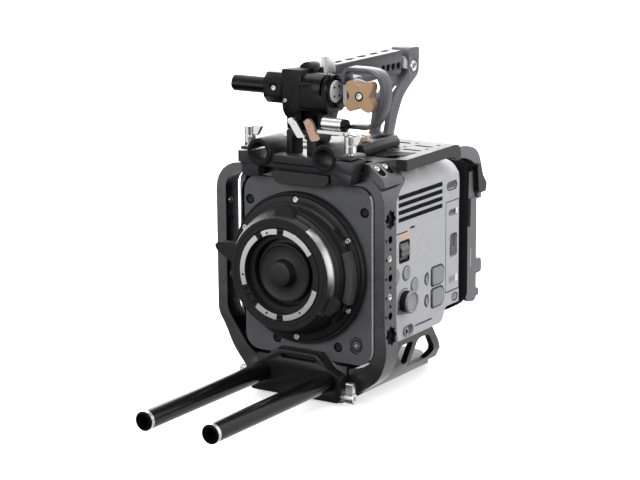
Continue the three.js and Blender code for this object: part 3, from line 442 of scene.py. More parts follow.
def set_at(place, axis, degrees):
    """The matrix that turns a mesh about an axis through the origin and then carries it to a place."""
    return Matrix.Translation(place) @ Matrix.Rotation(math.radians(degrees), 4, axis.upper())


def soften(obj, width, segments=2):
    """Rounds the crisp edges, `width` millimetres wide."""
    edge = obj.modifiers.new("edges", "BEVEL")
    edge.width = width * MM
    edge.segments = segments
    edge.limit_method = "ANGLE"
    edge.angle_limit = SHARP
    edge.harden_normals = True
    edge.miter_outer = "MITER_ARC"


def piece(name, mesh, body, slot, material=None, edge=0.0, replaces=()):
    """A shown piece: its mesh in millimetres, the body it rides on, and the finish it takes."""
    mesh.transform(Matrix.Scale(MM, 4))
    mesh.name = name
    mesh.polygons.foreach_set("use_smooth", [True] * len(mesh.polygons))
    mesh.set_sharp_from_angle(angle=SHARP)
    obj = bpy.data.objects.new(name, mesh)
    bpy.context.scene.collection.objects.link(obj)
    mesh.materials.clear()
    mesh.materials.append(material or FINISHES[slot])
    if edge:
        soften(obj, edge)
    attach(obj, body)
    if replaces:
        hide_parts(*replaces)
    return obj


def fine(node, mesh, edge=0.0, material=None):
    """A fine piece that stands for a CAD node, on the same body and with its slot's finish unless given
    another.
    """
    return piece(node + "_fine", mesh, BODY_OF[node], SLOT_OF[node], material, edge, (node,))


def fixed(name, mesh, slot, material=None, edge=0.0):
    """A fine piece that rides on the rig's own body."""
    return piece(name, mesh, ROOT, slot, material, edge)


# ---------------------------------------------------------------- CAD nodes


def smoothing():
    """A node group that smooths gentle edges, keeps crisp ones, and drops the imported normals."""
    tree = bpy.data.node_groups.new("smooth_by_angle", "GeometryNodeTree")
    tree.interface.new_socket("Geometry", in_out="INPUT", socket_type="NodeSocketGeometry")
    tree.interface.new_socket("Geometry", in_out="OUTPUT", socket_type="NodeSocketGeometry")
    nodes, links = tree.nodes, tree.links
    start, end = nodes.new("NodeGroupInput"), nodes.new("NodeGroupOutput")
    bare = nodes.new("GeometryNodeRemoveAttribute")
    bare.inputs["Name"].default_value = "custom_normal"
    faces = nodes.new("GeometryNodeSetShadeSmooth")
    faces.domain = "FACE"
    edges = nodes.new("GeometryNodeSetShadeSmooth")
    edges.domain = "EDGE"
    edges.inputs["Shade Smooth"].default_value = False
    angle = nodes.new("GeometryNodeInputMeshEdgeAngle")
    sharp = nodes.new("FunctionNodeCompare")
    sharp.operation = "GREATER_THAN"
    sharp.inputs[1].default_value = SHARP
    links.new(start.outputs[0], bare.inputs["Geometry"])
    links.new(bare.outputs["Geometry"], faces.inputs["Geometry"])
    links.new(faces.outputs["Geometry"], edges.inputs["Geometry"])
    links.new(angle.outputs["Unsigned Angle"], sharp.inputs[0])
    links.new(sharp.outputs["Result"], edges.inputs["Selection"])
    links.new(edges.outputs["Geometry"], end.inputs[0])
    return tree


SMOOTHING = smoothing()
WELD = 1e-5  # metres
COPLANAR = math.radians(0.5)  # faces that turn less than this are merged into one
EDGE = 0.35  # width of a node's rounded edges where EDGES doesn't say
EDGES = {
    "cage_front": 0.6, "base_plate": 0.6, "top_plate": 0.4, "handle_bar": 0.5, "handle_rear_arm": 0.6,
    "rear_hood": 0.6, "battery_plate": 0.5, "guard_loop": 0.5, "front_plate": 1.0, "right_panel": 0,
    "left_panel": 0.25,
}
INSIDE = ("sensor_block", "nd_filter", "main_board", "heat_sink", "cooling_fan")  # left with plain edges
OWN_FINISH = {"cage_front": CHEEK, "top_rod_bracket": BRACKET}  # in place of their slot's finish
FLAT = ("right_panel", "left_panel", "media_door", "front_plate", "cage_front", "base_plate", "top_plate",
        "rear_hood", "battery_plate")  # broad faces, with normals weighted by their area


def dress(node, edge):
    """Gives a CAD node its finish, rounds its edges and smooths it, without moving the imported mesh."""
    obj = NODES[node]
    if not obj.material_slots:
        obj.data.materials.append(None)
    for place in obj.material_slots:
        place.material = OWN_FINISH.get(node, FINISHES[SLOT_OF[node]])
    weld = obj.modifiers.new("weld", "WELD")
    weld.merge_threshold = WELD
    flat = obj.modifiers.new("flat", "DECIMATE")
    flat.decimate_type = "DISSOLVE"
    flat.angle_limit = COPLANAR
    if edge:
        soften(obj, edge)
        obj.modifiers["edges"].harden_normals = False
    smooth = obj.modifiers.new("smooth", "NODES")
    smooth.node_group = SMOOTHING
    if node in FLAT:
        even = obj.modifiers.new("even", "WEIGHTED_NORMAL")
        even.keep_sharp = True


for node in NODES:
    dress(node, 0 if node in INSIDE else EDGES.get(node, EDGE))

# ---------------------------------------------------------------- screws


def socket_screw(axis, at, radius, face, back, sides=40):
    """A screw's head with a hexagonal socket, from its `face` to its `back` along the axis."""
    sign = 1 if back > face else -1
    rim, socket = radius * 0.14, radius * 0.5
    floor = face + 0.25 * (back - face)
    head = turned(axis, at, [
        (0, back), (radius, back), (radius, face + rim * sign), (radius - rim, face),
        (socket * 1.3, face), (socket * 1.15, floor), (0, floor),
    ], sides)
    hexagon = circle(*(at[k] for k in ACROSS[axis]), socket, 6)
    return cut(head, prism(axis, hexagon, *sorted((face - sign, face + 0.8 * (back - face)))))


# ---------------------------------------------------------------- base and lens rods


def lens_rod(node, side):
    """A black rod with a bored and threaded front end."""
    radius, bore, front, back = (ROD[key] for key in ("radius", "bore", "front", "back"))
    chamfer = 0.8
    thread = []
    for i in range(6):
        thread += [(bore, front + 12.5 - 2 * i), (bore + 0.5, front + 11.5 - 2 * i)]
    fine(node, turned("y", (ROD["x"] * side, 0, ROD["z"]), [
        (0, front + 14), (bore, front + 14), *thread, (bore + 0.2, front), (radius - chamfer, front),
        (radius, front + chamfer), (radius, back - chamfer), (radius - chamfer, back), (0, back),
    ], 96))


def rod_tip_painted_glint(node, side):
    """A painted highlight: a steel ring let into the rod just behind its tip, where light glints on the rod's
    narrower neck.
    """
    axis = (ROD["x"] * side, 0, ROD["z"])
    radius, front = ROD["radius"], ROD["front"]
    piece(node + "_tip_painted_glint", ring("y", axis, radius - 0.3, radius + 0.04, front + 1.1, front + 4.4, 0.1, 64),
          node, "steel")


def rod_lever(node, side):
    """A boss with a socket, an upright blade, and the stem that enters the block."""
    y, z = -8, 6.6
    boss = rod("x", (0, y, z), 4.4, 46.2, 54, 48, 0.6)
    blade = outline([(y - 2.2, 6), (y + 2.2, 6), (y + 1.9, 19.2, 1.6), (y - 1.9, 19.2, 1.6)])
    stem = rod("x", (0, y, z), 2.4, 42.3, 47)
    lever = cut(join(boss, prism("x", blade, 46.9, 53.1), stem), prism("x", circle(y, z, 2, 6), 52, 55))
    fine(node, lever if side > 0 else mirrored(lever), 0.3)


def base():
    """The lens rods with their clamp levers, and the screws in the underside."""
    for side, name in ((-1, "left"), (1, "right")):
        lens_rod(f"rod_{name}", side)
        rod_lever(f"rod_lever_{name}", side)
        rod_tip_painted_glint(f"rod_{name}", side)
    for x in (-24, -12, 12, 24):
        fixed(f"base_screw_{x}", socket_screw("z", (x, 20, 0), 2.6, 0.15, 2.4), "cage_black", BLACK_AND_SHADE)


# ---------------------------------------------------------------- front plate and cage


def front_plate():
    """The front plate's screws with a ring of painted shade round each, its badge, a painted highlight along
    its right edge, and its lower slot in painted shade.
    """
    for i, (x, z) in enumerate([(-47.7, 153.4), (58.2, 153.4), (-23.4, 43.4), (33.7, 43.4)]):
        fixed(f"plate_screw_{i}", socket_screw("y", (x, 0, z), 2.7, 0.5, 2.1), "plate_grey", BLACK, 0.1)
        # Painted shade: a dark ring round each screw head.
        fixed(f"plate_screw_shade_{i}", ring("y", (x, 0, z), 3.0, 3.9, 0.1, 2.1, 0.08, 48), "plate_grey", BLACK_AND_SHADE)
    plate_badge(50.6, 47.3)
    # Painted highlight: a silver strip along the plate's right edge, where the light catches its rounded
    # side.
    plate = prism("y", rectangle(-53, 31.7, 65.4, 172.8, 13), 0.1, 5.5)
    all_but_lit_edge = prism("y", rectangle(-60, 20, 62.9, 180, 12), -1, 7)
    fixed("plate_edge_painted_highlight", cut(plate, all_but_lit_edge), "plate_grey", SILVER, 0.3)
    # Painted shade: a black strip for the slot.
    slot = prism("y", rectangle(-12.4, 31.9, 19.4, 34.0, 1), -4.3, -3.8)
    fixed("plate_lower_slot_shade", slot, "cage_black", BLACK_AND_SHADE)


def plate_badge(x, z):
    """A round button in a ring, with a painted glint at its middle and two dark arcs round it."""
    fixed("badge_button", rod("y", (x, 0, z), 3.4, -0.5, 0.8, 48, 0.4), "plate_grey")
    fixed("badge_ring", ring("y", (x, 0, z), 3.6, 5.0, -0.2, 0.6, 0.2, 64), "plate_grey", BLACK)
    # Painted highlight: a small steel dot for the glint on the button.
    fixed("badge_painted_glint", rod("y", (x, 0, z), 1.3, -0.9, 0.2, 32, 0.3), "steel")
    for i, (start, end) in enumerate(((40, 110), (205, 285))):
        arc = arc_band(6.2, 6.9, start, end, 16, (x, z))
        fixed(f"badge_arc_{i}", prism("y", arc, -0.08, 0.4), "plate_grey", BLACK_AND_SHADE)


def cage_cheeks():
    """Screws in the right cheek, painted shade in the threads of its open holes, and the screws inside the
    left one.
    """
    hole_y = 9.8
    for i, z in enumerate((117.5, 87.3)):
        screw = socket_screw("x", (0, hole_y, z), 2.9, CHEEK_FACE - 0.2, CHEEK_FACE - 2.3)
        fixed(f"cheek_screw_{i}", screw, "steel", None, 0.1)
    for i in (0, 2, 4):
        z = 132.6 - 15.1 * i
        # Painted shade: a dark ring on the wall of each open hole.
        thread = ring("x", (0, hole_y, z), 2.5, 3.1, CHEEK_FACE - 3.5, CHEEK_FACE - 0.3, 0.1, 48)
        fixed(f"cheek_thread_shade_{i}", thread, "cage_black", BLACK_AND_SHADE)
    for i, (y, z, material) in enumerate(((7.6, 148.9, None), (8.8, 133.6, BLACK), (7.6, 88.6, None),
                                          (7, 59.1, None))):
        fixed(f"inner_screw_{i}", socket_screw("x", (0, y, z), 2.6, -71.2, -72.4), "steel", material, 0.1)


def shoulder():
    """The cage's sloping shoulder, with a screw in each of its two long pockets, painted shade on their
    floors and a painted highlight at one end of each.
    """
    slope = outline([(58, 178), (58, 190.6), (61, 190.6, 1), (73.6, 180, 4), (75.3, 174), (68, 172)])
    ramp = prism("y", slope, 2.5, 31)
    pocket = rectangle(-6.2, -4.2, 6.2, 4.2, 4.1)
    pocket_shade = rectangle(-6.1, -4.1, 6.1, 4.1, 4)
    all_but_painted_glint = rectangle(-8, -4.6, 5.2, 4.6, 4.1)
    for i, y in enumerate((8.5, 20.5)):
        place = set_at((67.2, y, 185.4), "y", 40)
        ramp = cut(ramp, moved(prism("z", pocket, -3.6, 6), place))
        # Painted shade: a black floor in the pocket.
        fixed(f"shoulder_pocket_shade_{i}", moved(prism("z", pocket_shade, -3.7, -1.6), place), "cage_black", BLACK_AND_SHADE)
        # Painted highlight: a polished strip on the pocket's end wall, where the light catches it.
        glint = cut(prism("z", pocket, -1.6, 0), prism("z", all_but_painted_glint, -3, 2))
        fixed(f"shoulder_painted_glint_{i}", moved(glint, place), "steel", POLISHED_HIGHLIGHT)
        screw = socket_screw("z", (-3.4, 0, 0), 2.6, 0, -2)
        fixed(f"shoulder_screw_{i}", moved(screw, place), "steel", None, 0.1)
    fixed("shoulder_ramp", ramp, "cage_black", CHEEK, 0.3)


# ---------------------------------------------------------------- lens mount

FLANGE_SCREWS = 55  # radius of the flange screws' circle


def mount_flange():
    """The stepped flange, its six screws, and a block at either end of the grip pad."""
    profile = [
        (38, -0.3), (60.1, -0.3), (60.5, -0.8), (60.5, -5.2), (59.9, -6.2), (59.2, -6.2), (58.9, -5.6),
        (58.3, -5.6), (57.7, -7.6), (57, -8), (52.4, -8), (51.9, -8.6), (49.9, -9.2), (49.5, -9.8),
        (49.5, -18.7), (48.7, -19.5), (44, -19.5), (43.6, -18.9), (41.6, -18.9), (41.2, -19.5), (38, -19.5),
        (38, -0.3),
    ]
    spots = [polar(LENS_CENTRE, FLANGE_SCREWS, 90 - 60 * i) for i in range(6)]
    holes = [rod("y", (x, 0, z), 3.2, -12, -6, 40) for x, z in spots]
    fine("mount_flange", cut(turned("y", LENS, profile, 160), *holes))
    for i, (x, z) in enumerate(spots):
        fixed(f"flange_screw_{i}", socket_screw("y", (x, 0, z), 2.5, -7.9, -6.1), "steel", None, 0.1)
    for name, start, end in (("upper", 21.5, 44), ("lower", -44, -21.5)):
        block = prism("y", arc_band(49.2, 53.2, start, end), -14.6, -8.0)
        fixed(f"grip_block_{name}", block, "mount_black", None, 0.5)


def grip_pad():
    """A ribbed rubber pad on the flange's right, cut clear of two flange screws."""
    reach, ribs, heel = 22, 123, 20  # degrees to either end, and the steps along the two sides
    far = [polar(LENS_CENTRE, 56.8 if i % 4 in (1, 2) else 55.6, -reach + 2 * reach * i / ribs)
           for i in range(ribs + 1)]
    near = [polar(LENS_CENTRE, 50.1, reach - 2 * reach * i / heel) for i in range(heel + 1)]
    spots = [polar(LENS_CENTRE, FLANGE_SCREWS, turn) for turn in (30, -30)]
    fine("grip_pad", cut(prism("y", far + near, -14.9, -8.35),
                         *[rod("y", (x, 0, z), 4, -20, 0, 40) for x, z in spots]))


def mount_tube():
    """The tube that the port cap sits in."""
    fine("mount_tube", turned("y", LENS, [
        (27, -25), (27.4, -25.4), (36.2, -25.4), (36.4, -25), (36.4, -19.8), (37.7, -19.8), (37.7, 12),
        (27, 12), (27, -25),
    ], 128))


def lens_seat():
    """A dark ring under bright lands, with small holes between them shown as dots of painted shade."""
    fine("lens_seat", ring("y", LENS, 31.7, 36.2, -31.2, -25.7, 0.1, 128), 0.0, FINISHES["mount_black"])
    for i, (start, end) in enumerate(((33, 82), (92, 117), (127, 200), (232, 266), (276, 345))):
        land = prism("y", arc_band(31.8, 36.2, start, end, 40), -32, -31.1)
        fixed(f"seat_land_{i}", land, "steel", None, 0.12)
    # Painted shade: a black dot for each small hole.
    for i, turn in enumerate((88, 108, 121, 205, 214, 226, 250, 269, 274, 305, 186)):
        x, z = polar(LENS_CENTRE, 33.6, turn)
        fixed(f"seat_hole_shade_{i}", rod("y", (x, 0, z), 0.9, -32.15, -31, 20), "mount_black", BLACK_AND_SHADE)


def lug(angle, reach, wide, tip):
    """One of the locking ring's handles, at an angle round the lens."""
    shoulder_at = reach - 2
    shape = outline([(44, -wide / 2), (shoulder_at, -tip / 2, 2.5), (reach, 0, 0.4),
                     (shoulder_at, tip / 2, 2.5), (44, wide / 2)])
    return moved(prism("y", shape, -28.4, -21.6), set_at(LENS, "y", -angle))


def locking_ring():
    """A grooved ring with three lugs, and a polished bevel as a painted highlight, kept only on the ring's
    right side where the light catches it.
    """
    body = turned("y", LENS, [
        (36.9, -31.1), (37.2, -31.4), (40.2, -31.4), (40.5, -31.15), (40.9, -31.15), (41.2, -31.4),
        (44.2, -31.4), (44.4, -31.2), (46.6, -27.5), (46.8, -27.1), (46.8, -24.6), (48.4, -22.6),
        (48.6, -22.2), (48.6, -19.9), (38.4, -19.9), (38.4, -27), (36.9, -27), (36.9, -31.1),
    ], 160)
    lugs = lug(165.5, 64.3, 17, 7), lug(86, 54.5, 18, 14), lug(-25, 54.5, 17, 12)
    fine("locking_ring", join(body, *lugs), 0.35)
    band = turned("y", LENS, [
        (44.5, -31.3), (46.95, -27.2), (46.95, -24.9), (46.5, -24.9), (46.3, -27.2), (44.1, -31.1),
        (44.5, -31.3),
    ], 160)
    # Painted highlight: the polished band is kept only from -38 to 56 degrees, on the lit side.
    highlight_span = prism("y", arc_band(40, 50, -38, 56, 48), -33, -20)
    piece("locking_ring_bevel_highlight", boolean(band, highlight_span, "INTERSECT"), "locking_ring", "steel", POLISHED_HIGHLIGHT)


def port_cap():
    """A dished cap with a tall knob at its middle."""
    fine("port_cap", turned("y", LENS, [
        (0, -14), (26.6, -14), (26.6, -19), (26.2, -19.4), (23.5, -19.6), (23.2, -20), (23.2, -24.1),
        (22.9, -24.5), (22.3, -24.6), (21.9, -24.3), (21.4, -23.7), (20.8, -23.5), (12, -23.5), (11, -23.8),
        (10.4, -24.8), (9.9, -30.2), (9.5, -30.9), (8.8, -31.2), (4, -31.35), (0, -31.4),
    ], 128))


# ---------------------------------------------------------------- right panel

INLAY_ROOT = PANEL_FACE - 0.2  # where the marks on the panel start, inside it
THROUGH = (69, 72)  # past both ends of any line on the panel
DOOR_BODY = BODY_OF["media_door"]


def on_panel(name, shape, low, high, slot, material, body=ROOT):
    """An outline between two places along X."""
    return piece(name, prism("x", shape, low, high), body, slot, material)


def mark(name, shape, proud, material, body=ROOT):
    """A flat mark that stands `proud` of the panel's face."""
    return on_panel(name, shape, INLAY_ROOT, PANEL_FACE + proud, "panel_silver", material, body)


def outlined(name, shape, inner, material, low=PANEL_FACE - 0.3, proud=0.12, body=ROOT):
    """A thin line on the panel, between an outline and the one inside it."""
    line = cut(prism("x", shape, low, PANEL_FACE + proud), prism("x", inner, *THROUGH))
    return piece(name, line, body, "panel_silver", material)


def vents():
    """Painted shade in the four rows of vents: a black floor in each, in two lengths."""
    for i in range(4):
        z = 160.5 - 5.87 * i
        for k, (front, back) in enumerate(((30.5, 64.4), (65.4, 99.4))):
            fixed(f"vent_shade_{i}_{k}", box(68.6, 70.1, front, back, z - 1.75, z + 1.75), "body_black", BLACK_AND_SHADE)


def round_buttons():
    """Three dished buttons, each in a thin ring."""
    for name, y, z in (("upper", 42.4, 99), ("lower", 55.3, 86.7), ("front", 26.2, 98.7)):
        node = f"assign_button_{name}"
        fine(node, turned("x", (0, y, z), [
            (0, 66.6), (5.4, 66.6), (5.4, 70.8), (5.1, 71.2), (4.6, 71.4), (3.6, 71.3), (0, 70.9),
        ], 64))
        outlined(node + "_line", circle(y, z, 6.2, 64), circle(y, z, 5.45, 64), LINE)


def wide_outline(z, grow):
    """The outline of a D-shaped button, let out by `grow`."""
    half = 7.4 + grow
    round_end = min(7.2, half - 0.05)
    return outline([
        (82 - grow, z - half, 2.8), (102 + grow, z - half, round_end),
        (102 + grow, z + half, round_end), (82 - grow, z + half, 2.8),
    ], 14)


def wide_buttons():
    """Two D-shaped buttons, each in a thin line and with a crescent light in front of it."""
    for node, z in (("record_button", 87.3), ("focus_button", 69.5)):
        base = prism("x", wide_outline(z, -0.4), 66.6, 71.4)
        top = prism("x", wide_outline(z, -0.9), 71.3, 71.7)
        fine(node, together(base, top))
        outlined(node + "_line", wide_outline(z, 1.05), wide_outline(z, 0), LINE)
        outlined(node + "_light", circle(76, z, 5.2, 40), circle(77.8, z, 5.2, 40), BLACK_AND_SHADE, proud=0.16)


def menu_dial():
    """A knurled collar under a turned cap, with a painted shadow below it: a darker wedge on the panel."""
    y, z = 39.6, 77.2
    ribs = [polar((y, z), 8.2 if i % 2 else 8.5, 5 * i) for i in range(72)]
    fine("menu_dial", together(prism("x", ribs, 70.8, 76.2), rod("x", (0, y, z), 7.7, 76, 76.8, 64)), 0.15)
    piece("menu_dial_cap", turned("x", (0, y, z), [
        (0, 76.4), (9, 76.4), (9, 77.8), (8.7, 78.3), (8.0, 78.5), (7.4, 78.3), (6.9, 77.9), (5.6, 77.8),
        (0, 77.9),
    ], 96), "menu_dial", "button_grey")
    piece("menu_dial_line", ring("x", (0, y, z), 6.8, 7.3, 77.7, 78.05, 0.05, 96), "menu_dial",
          "button_grey", LINE)
    # Painted shadow: a darker wedge on the panel under the dial.
    mark("menu_dial_painted_shadow", outline([(29.6, 74), (42, 71.5), (46.8, 65.5, 1), (27.3, 68.2, 1)]), 0.12, GREY)
    mark("menu_base_line", arc_band(9.6, 10.3, 60, 250, 40, (y, z)), 0.1, LINE)


def filter_wheel():
    """The notched thumbwheel, its label, and a dark line of painted shade round its window."""
    notches = [polar((63.3, 117.2), 9.2 if i % 4 in (1, 2) else 8.4, 7.5 * i) for i in range(48)]
    fine("filter_thumbwheel", prism("y", notches, 33.2, 45.6), 0.15, WHEEL_GREY)
    mark("wheel_label", rectangle(30.8, 126.3, 48.6, 130.7, 0.4), 0.1, PEACH)
    mark("wheel_label_line", rectangle(27.5, 131.8, 43.9, 133, 0.4), 0.08, LINE)
    # Painted shade: the dark gap round the wheel's window.
    outlined("wheel_window_shade", rectangle(31.2, 108.3, 47.5, 126, 2), rectangle(32.6, 109.8, 46, 124.5, 1.2), BLACK_AND_SHADE)


def door_seams():
    """Thin lines along the media door's front, top and bottom."""
    front, back = 104.7, 127
    spans = ((front, 69, 105.4, 144.4), (front, 143.7, back, 144.4), (front, 68.9, back, 69.6))
    for i, span in enumerate(spans):
        mark(f"door_seam_{i}", rectangle(*span), 0.06, LINE)


def index_window():
    """A rounded window above the door, with four bars in it."""
    outlined("index_line", rectangle(106.6, 152.8, 123, 160.2, 3.6),
             rectangle(107.4, 153.6, 122.2, 159.4, 2.9), LINE)
    for i in range(4):
        y = 109.8 + 2.9 * i
        shape = rectangle(y, 154.6, y + 1.6, 158.6, 0.3)
        on_panel(f"index_mark_{i}", shape, 69.2, 69.9, "panel_silver", GREY)


def door_fittings():
    """On the media door: an oval window, a label and the sliding latch in its recess, whose floor is in
    painted shade.
    """
    outlined("door_oval_line", rectangle(109.8, 131.9, 125.4, 137.1, 2.5),
             rectangle(110.5, 132.6, 124.7, 136.4, 1.8), GREY, low=INLAY_ROOT, body=DOOR_BODY)
    on_panel("door_oval_fill", rectangle(110.6, 132.8, 121.6, 136.2, 1.6), 69.3, 69.6, "panel_silver", GREY,
             DOOR_BODY)
    mark("door_oval_light", rectangle(121, 132.4, 124.8, 137, 0.3), 0.16, WHITE, DOOR_BODY)
    mark("door_label", rectangle(111.4, 77.4, 119.8, 80.8, 0.5), 0.06, BUTTON, DOOR_BODY)
    outlined("door_label_line", rectangle(110.6, 76.4, 120.8, 81.8, 0.8),
             rectangle(111.2, 77.0, 120.2, 81.2, 0.5), BUTTON, low=INLAY_ROOT, proud=0.08, body=DOOR_BODY)
    mark("door_label_light", rectangle(120.6, 76.2, 124.6, 82, 0.2), 0.16, WHITE, DOOR_BODY)
    # Painted shade: a black floor in the latch's recess.
    on_panel("latch_recess_shade", rectangle(112.4, 97.6, 123.6, 116.2, 2.2), 67.6, 68.25, "body_black", BLACK_AND_SHADE,
             DOOR_BODY)
    slider = prism("x", rectangle(113.2, 98.6, 122.8, 106, 2), 68.5, 69.9)
    grips = [box(69.5, 70.2, 114, 122, z, z + 0.9) for z in (100, 102, 104)]
    fine("door_latch", join(slider, *grips), 0.15, GREY)
    on_panel("latch_back", rectangle(113.4, 98.8, 122.6, 115.6, 1.6), 68.2, 68.4, "button_grey", GREY,
             DOOR_BODY)


def lower_controls():
    """The lock button, the power switch's surround, the small slots in painted shade, and the dots."""
    outlined("lock_line", rectangle(115.6, 59.8, 125.1, 66.9, 3.4),
             rectangle(116.4, 60.6, 124.3, 66.1, 2.6), LINE)
    on_panel("lock_button", rectangle(116.8, 60.8, 124, 65.9, 2.4), 69.2, 70.4, "button_grey", BUTTON)
    outlined("switch_line", rectangle(37, 46.9, 54.4, 56.8, 4.8),
             rectangle(37.7, 47.6, 53.7, 56.1, 4.2), BUTTON)
    on_panel("switch_depth", rectangle(44.8, 47.9, 52.6, 55.7, 3.6), 68.3, 68.5, "panel_silver", GREY)
    on_panel("switch_mark", [(40.6, 49.4), (44.4, 51.8), (40.6, 54.4)], 71.0, 71.4, "button_grey", BLACK_AND_SHADE,
             BODY_OF["power_switch"])
    # Painted shade: a black strip in the screen slot.
    on_panel("screen_slot_shade", rectangle(56.6, 52.4, 83.1, 53.7, 0.6), 68.9, 69.2, "panel_silver", BLACK_AND_SHADE)
    mark("sensor_dot", circle(59.8, 77.2, 0.9, 24), 0.1, LINE)
    # Painted shade: a black strip in the mic slot.
    on_panel("mic_slot_shade", rectangle(48.4, 133.2, 55.4, 134.8, 0.7), 68.4, 68.8, "panel_silver", BLACK_AND_SHADE)


# ---------------------------------------------------------------- back


def back():
    """The battery release, and what shows on the battery plate."""
    side = outline([(203, 157, 2.5), (209.5, 157, 2.5), (212.5, 147, 5), (220, 138.5, 2), (218, 131.5, 2),
                    (206, 131.5, 3)])
    grooves = [rod("x", (0, 213.6 + 2.2 * k, 146.4 - 2.6 * k), 0.6, 40, 47, 16) for k in range(4)]
    fine("battery_release", cut(prism("x", side, 41.3, 46), *grooves), 0.4, BLACK)
    fixed("plate_light_strip", box(42.7, 43.15, 196.6, 197.9, 68.8, 85), "rear_grey", SILVER)
    for i, z in enumerate((50.5, 56.4)):
        fixed(f"plate_pin_{i}", rod("x", (0, 206.8, z), 0.6, 42.6, 43.3, 20), "steel")
    for i in range(4):
        x = -9 + 5.2 * i
        fixed(f"battery_contact_{i}", box(x, x + 2.4, 202.9, 205.2, 84, 96), "gold")
    for i, (x, z) in enumerate(((-36, 116), (36, 116), (-36, 52), (36, 52))):
        fixed(f"rear_screw_{i}", socket_screw("y", (x, 0, z), 2.4, 207.9, 206.4), "steel", BLACK)


# ---------------------------------------------------------------- top rod bracket


def clamp_knob(node, x):
    """A stepped knob with one wing."""
    fine(node, turned("z", (x, -6, 0), [
        (0, 198.3), (2.2, 198.3), (2.2, 200.2), (4.3, 200.2), (4.7, 200.6), (4.7, 205.6), (4.4, 205.9),
        (4.7, 206.2), (4.7, 213.3), (4.2, 213.8), (2.2, 214), (2.0, 213.4), (0, 213.4),
    ], 96))
    wing = outline([(x + 2, 206.6), (x + 8.2, 206.2, 1.6), (x + 12.5, 214.6, 2), (x + 9, 214.8, 1),
                    (x + 2, 212.4)])
    piece(node + "_wing", prism("y", wing, -8, -4), node, "steel", None, 0.8)


def top_rod_bracket():
    """The bracket's two clamp knobs, blank name plate, and a lip round either rod bore."""
    clamp_knob("clamp_knob_left", -42.6)
    clamp_knob("clamp_knob_right", 49.5)
    plate = outline([(-16, 171, 3), (26, 171, 3), (33, 176, 3), (31, 181, 2), (-19, 181, 2), (-22, 176.5, 3)])
    fine("name_plate", prism("y", plate, -9.4, -6.3), 0.5)
    for side in (-1, 1):
        lip = turned("y", (ROD["x"] * side, 0, TOP_ROD_Z), [
            (7.7, -13.6), (9.9, -13.6), (10.4, -13.2), (10.4, -12.8), (7.7, -12.8), (7.7, -13.6),
        ], 96)
        fixed(f"rod_bore_ring_{side}", lip, "cage_black", FINISHES["bracket_black"])
    fixed("bracket_bar_line", box(-19.5, 19.5, -9.25, -8.9, 186.4, 187.4), "cage_black", BLACK_AND_SHADE)


# ---------------------------------------------------------------- handle


def handle():
    """The handle's screw, its slots' floors in painted shade, the bridge, and the lever on the block beside
    it.
    """
    fine("handle_screw", socket_screw("x", (0, 142.5, 246), 4.8, 18.9, 16.4), 0.1)
    for k in range(5):
        front = 33.2 + 18 * k
        # Painted shade: a black floor in each slot.
        floor = prism("z", rectangle(7.6, front, 12.4, front + 10.6, 2.3), 257.6, 257.9)
        fixed(f"bar_slot_shade_{k}", floor, "handle_black", BLACK_AND_SHADE)
    bridge = outline([(127.5, 246, 1), (134.2, 244.5, 1), (134.2, 251, 1), (129, 256, 1)])
    fixed("arm_bridge", prism("x", bridge, 11, 17.5), "steel", SILVER, 0.4)
    boss = turned("z", (30.5, 46, 0), [
        (0, 199.8), (4.3, 199.8), (4.6, 200.1), (4.6, 204.4), (3.8, 205.4), (0, 205.4),
    ], 48)
    blade = outline([(27.6, 46), (33.4, 46), (32.8, 31.6, 2.2), (28.2, 31.6, 2.2)])
    fine("accessory_lever", join(boss, prism("z", blade, 200.4, 203.3)), 0.3)


# ---------------------------------------------------------------- monitor bracket


def end_disc():
    """The bright disc on the barrel's end, with four holes plugged by discs of painted shade, and what is
    behind it, with a painted highlight on the carrier.
    """
    spots = [polar(BARREL[1:], 5, 45 + 90 * k) for k in range(4)]
    holes = [rod("x", (0, y, z), 0.9, 28.4, 31, 16) for y, z in spots]
    fine("end_disc", cut(rod("x", BARREL, 8.6, 26.3, 29.4, 64, 0.3), *holes), 0.15, BRIGHT)
    for k, (y, z) in enumerate(spots):
        # Painted shade: a black disc in each hole.
        piece(f"end_disc_hole_shade_{k}", rod("x", (0, y, z), 1.0, 28.6, 29.5, 20), "tilt_head", "steel", BLACK_AND_SHADE)
    # Painted highlight: a light silver plate over the carrier, lighter than its own loop grey, on a part that
    # sits in shade.
    arm = outline([(33.2, 232, 3), (46, 236), (46, 256), (33.2, 257, 3)])
    piece("carrier_painted_highlight", prism("y", arm, 9.4, 11.8), "tilt_head", "loop_grey", SILVER, 0.5)
    fixed("end_disc_ring", ring("x", BARREL, 8.8, 12.6, 27.8, 28.6, 0.25, 96), "bracket_black")


def monitor_rod():
    """The rod inside the barrel, grooved near its left end."""
    fine("monitor_rod", turned("x", BARREL, [
        (0, -65.5), (5.6, -65.5), (6.5, -64.4), (6.5, -58.2), (6.2, -57.9), (6.2, -57.3), (6.5, -57),
        (6.5, -15), (0, -15),
    ], 96))


def barrel_lever():
    """A small upright lever, turned 60 degrees, and the pinch screws near it."""
    place = set_at((25.5, 0.2, 0), "z", 60)
    fine("barrel_lever", moved(rod("z", (0, 0, 0), 3.2, 257.7, 260, 48, 0.3), place))
    grip = prism("z", rectangle(-4.7, -4.3, 4.7, 4.3, 1), 259.3, 272.6)
    piece("barrel_lever_grip", moved(grip, place), "barrel_lever", "steel", None, 0.5)
    piece("barrel_lever_screw", socket_screw("y", (22.6, 0, 261.6), 2.2, -5.4, -2.6), "barrel_lever",
          "bracket_black")
    fixed("clamp_pinch_screw", socket_screw("y", (-21.4, 0, 244.4), 2.2, -4.7, -2.4), "steel", None, 0.1)
    fixed("block_pinch_screw", socket_screw("y", (-10.2, 0, 235.6), 1.5, -5.4, -4.6), "steel", None, 0.1)


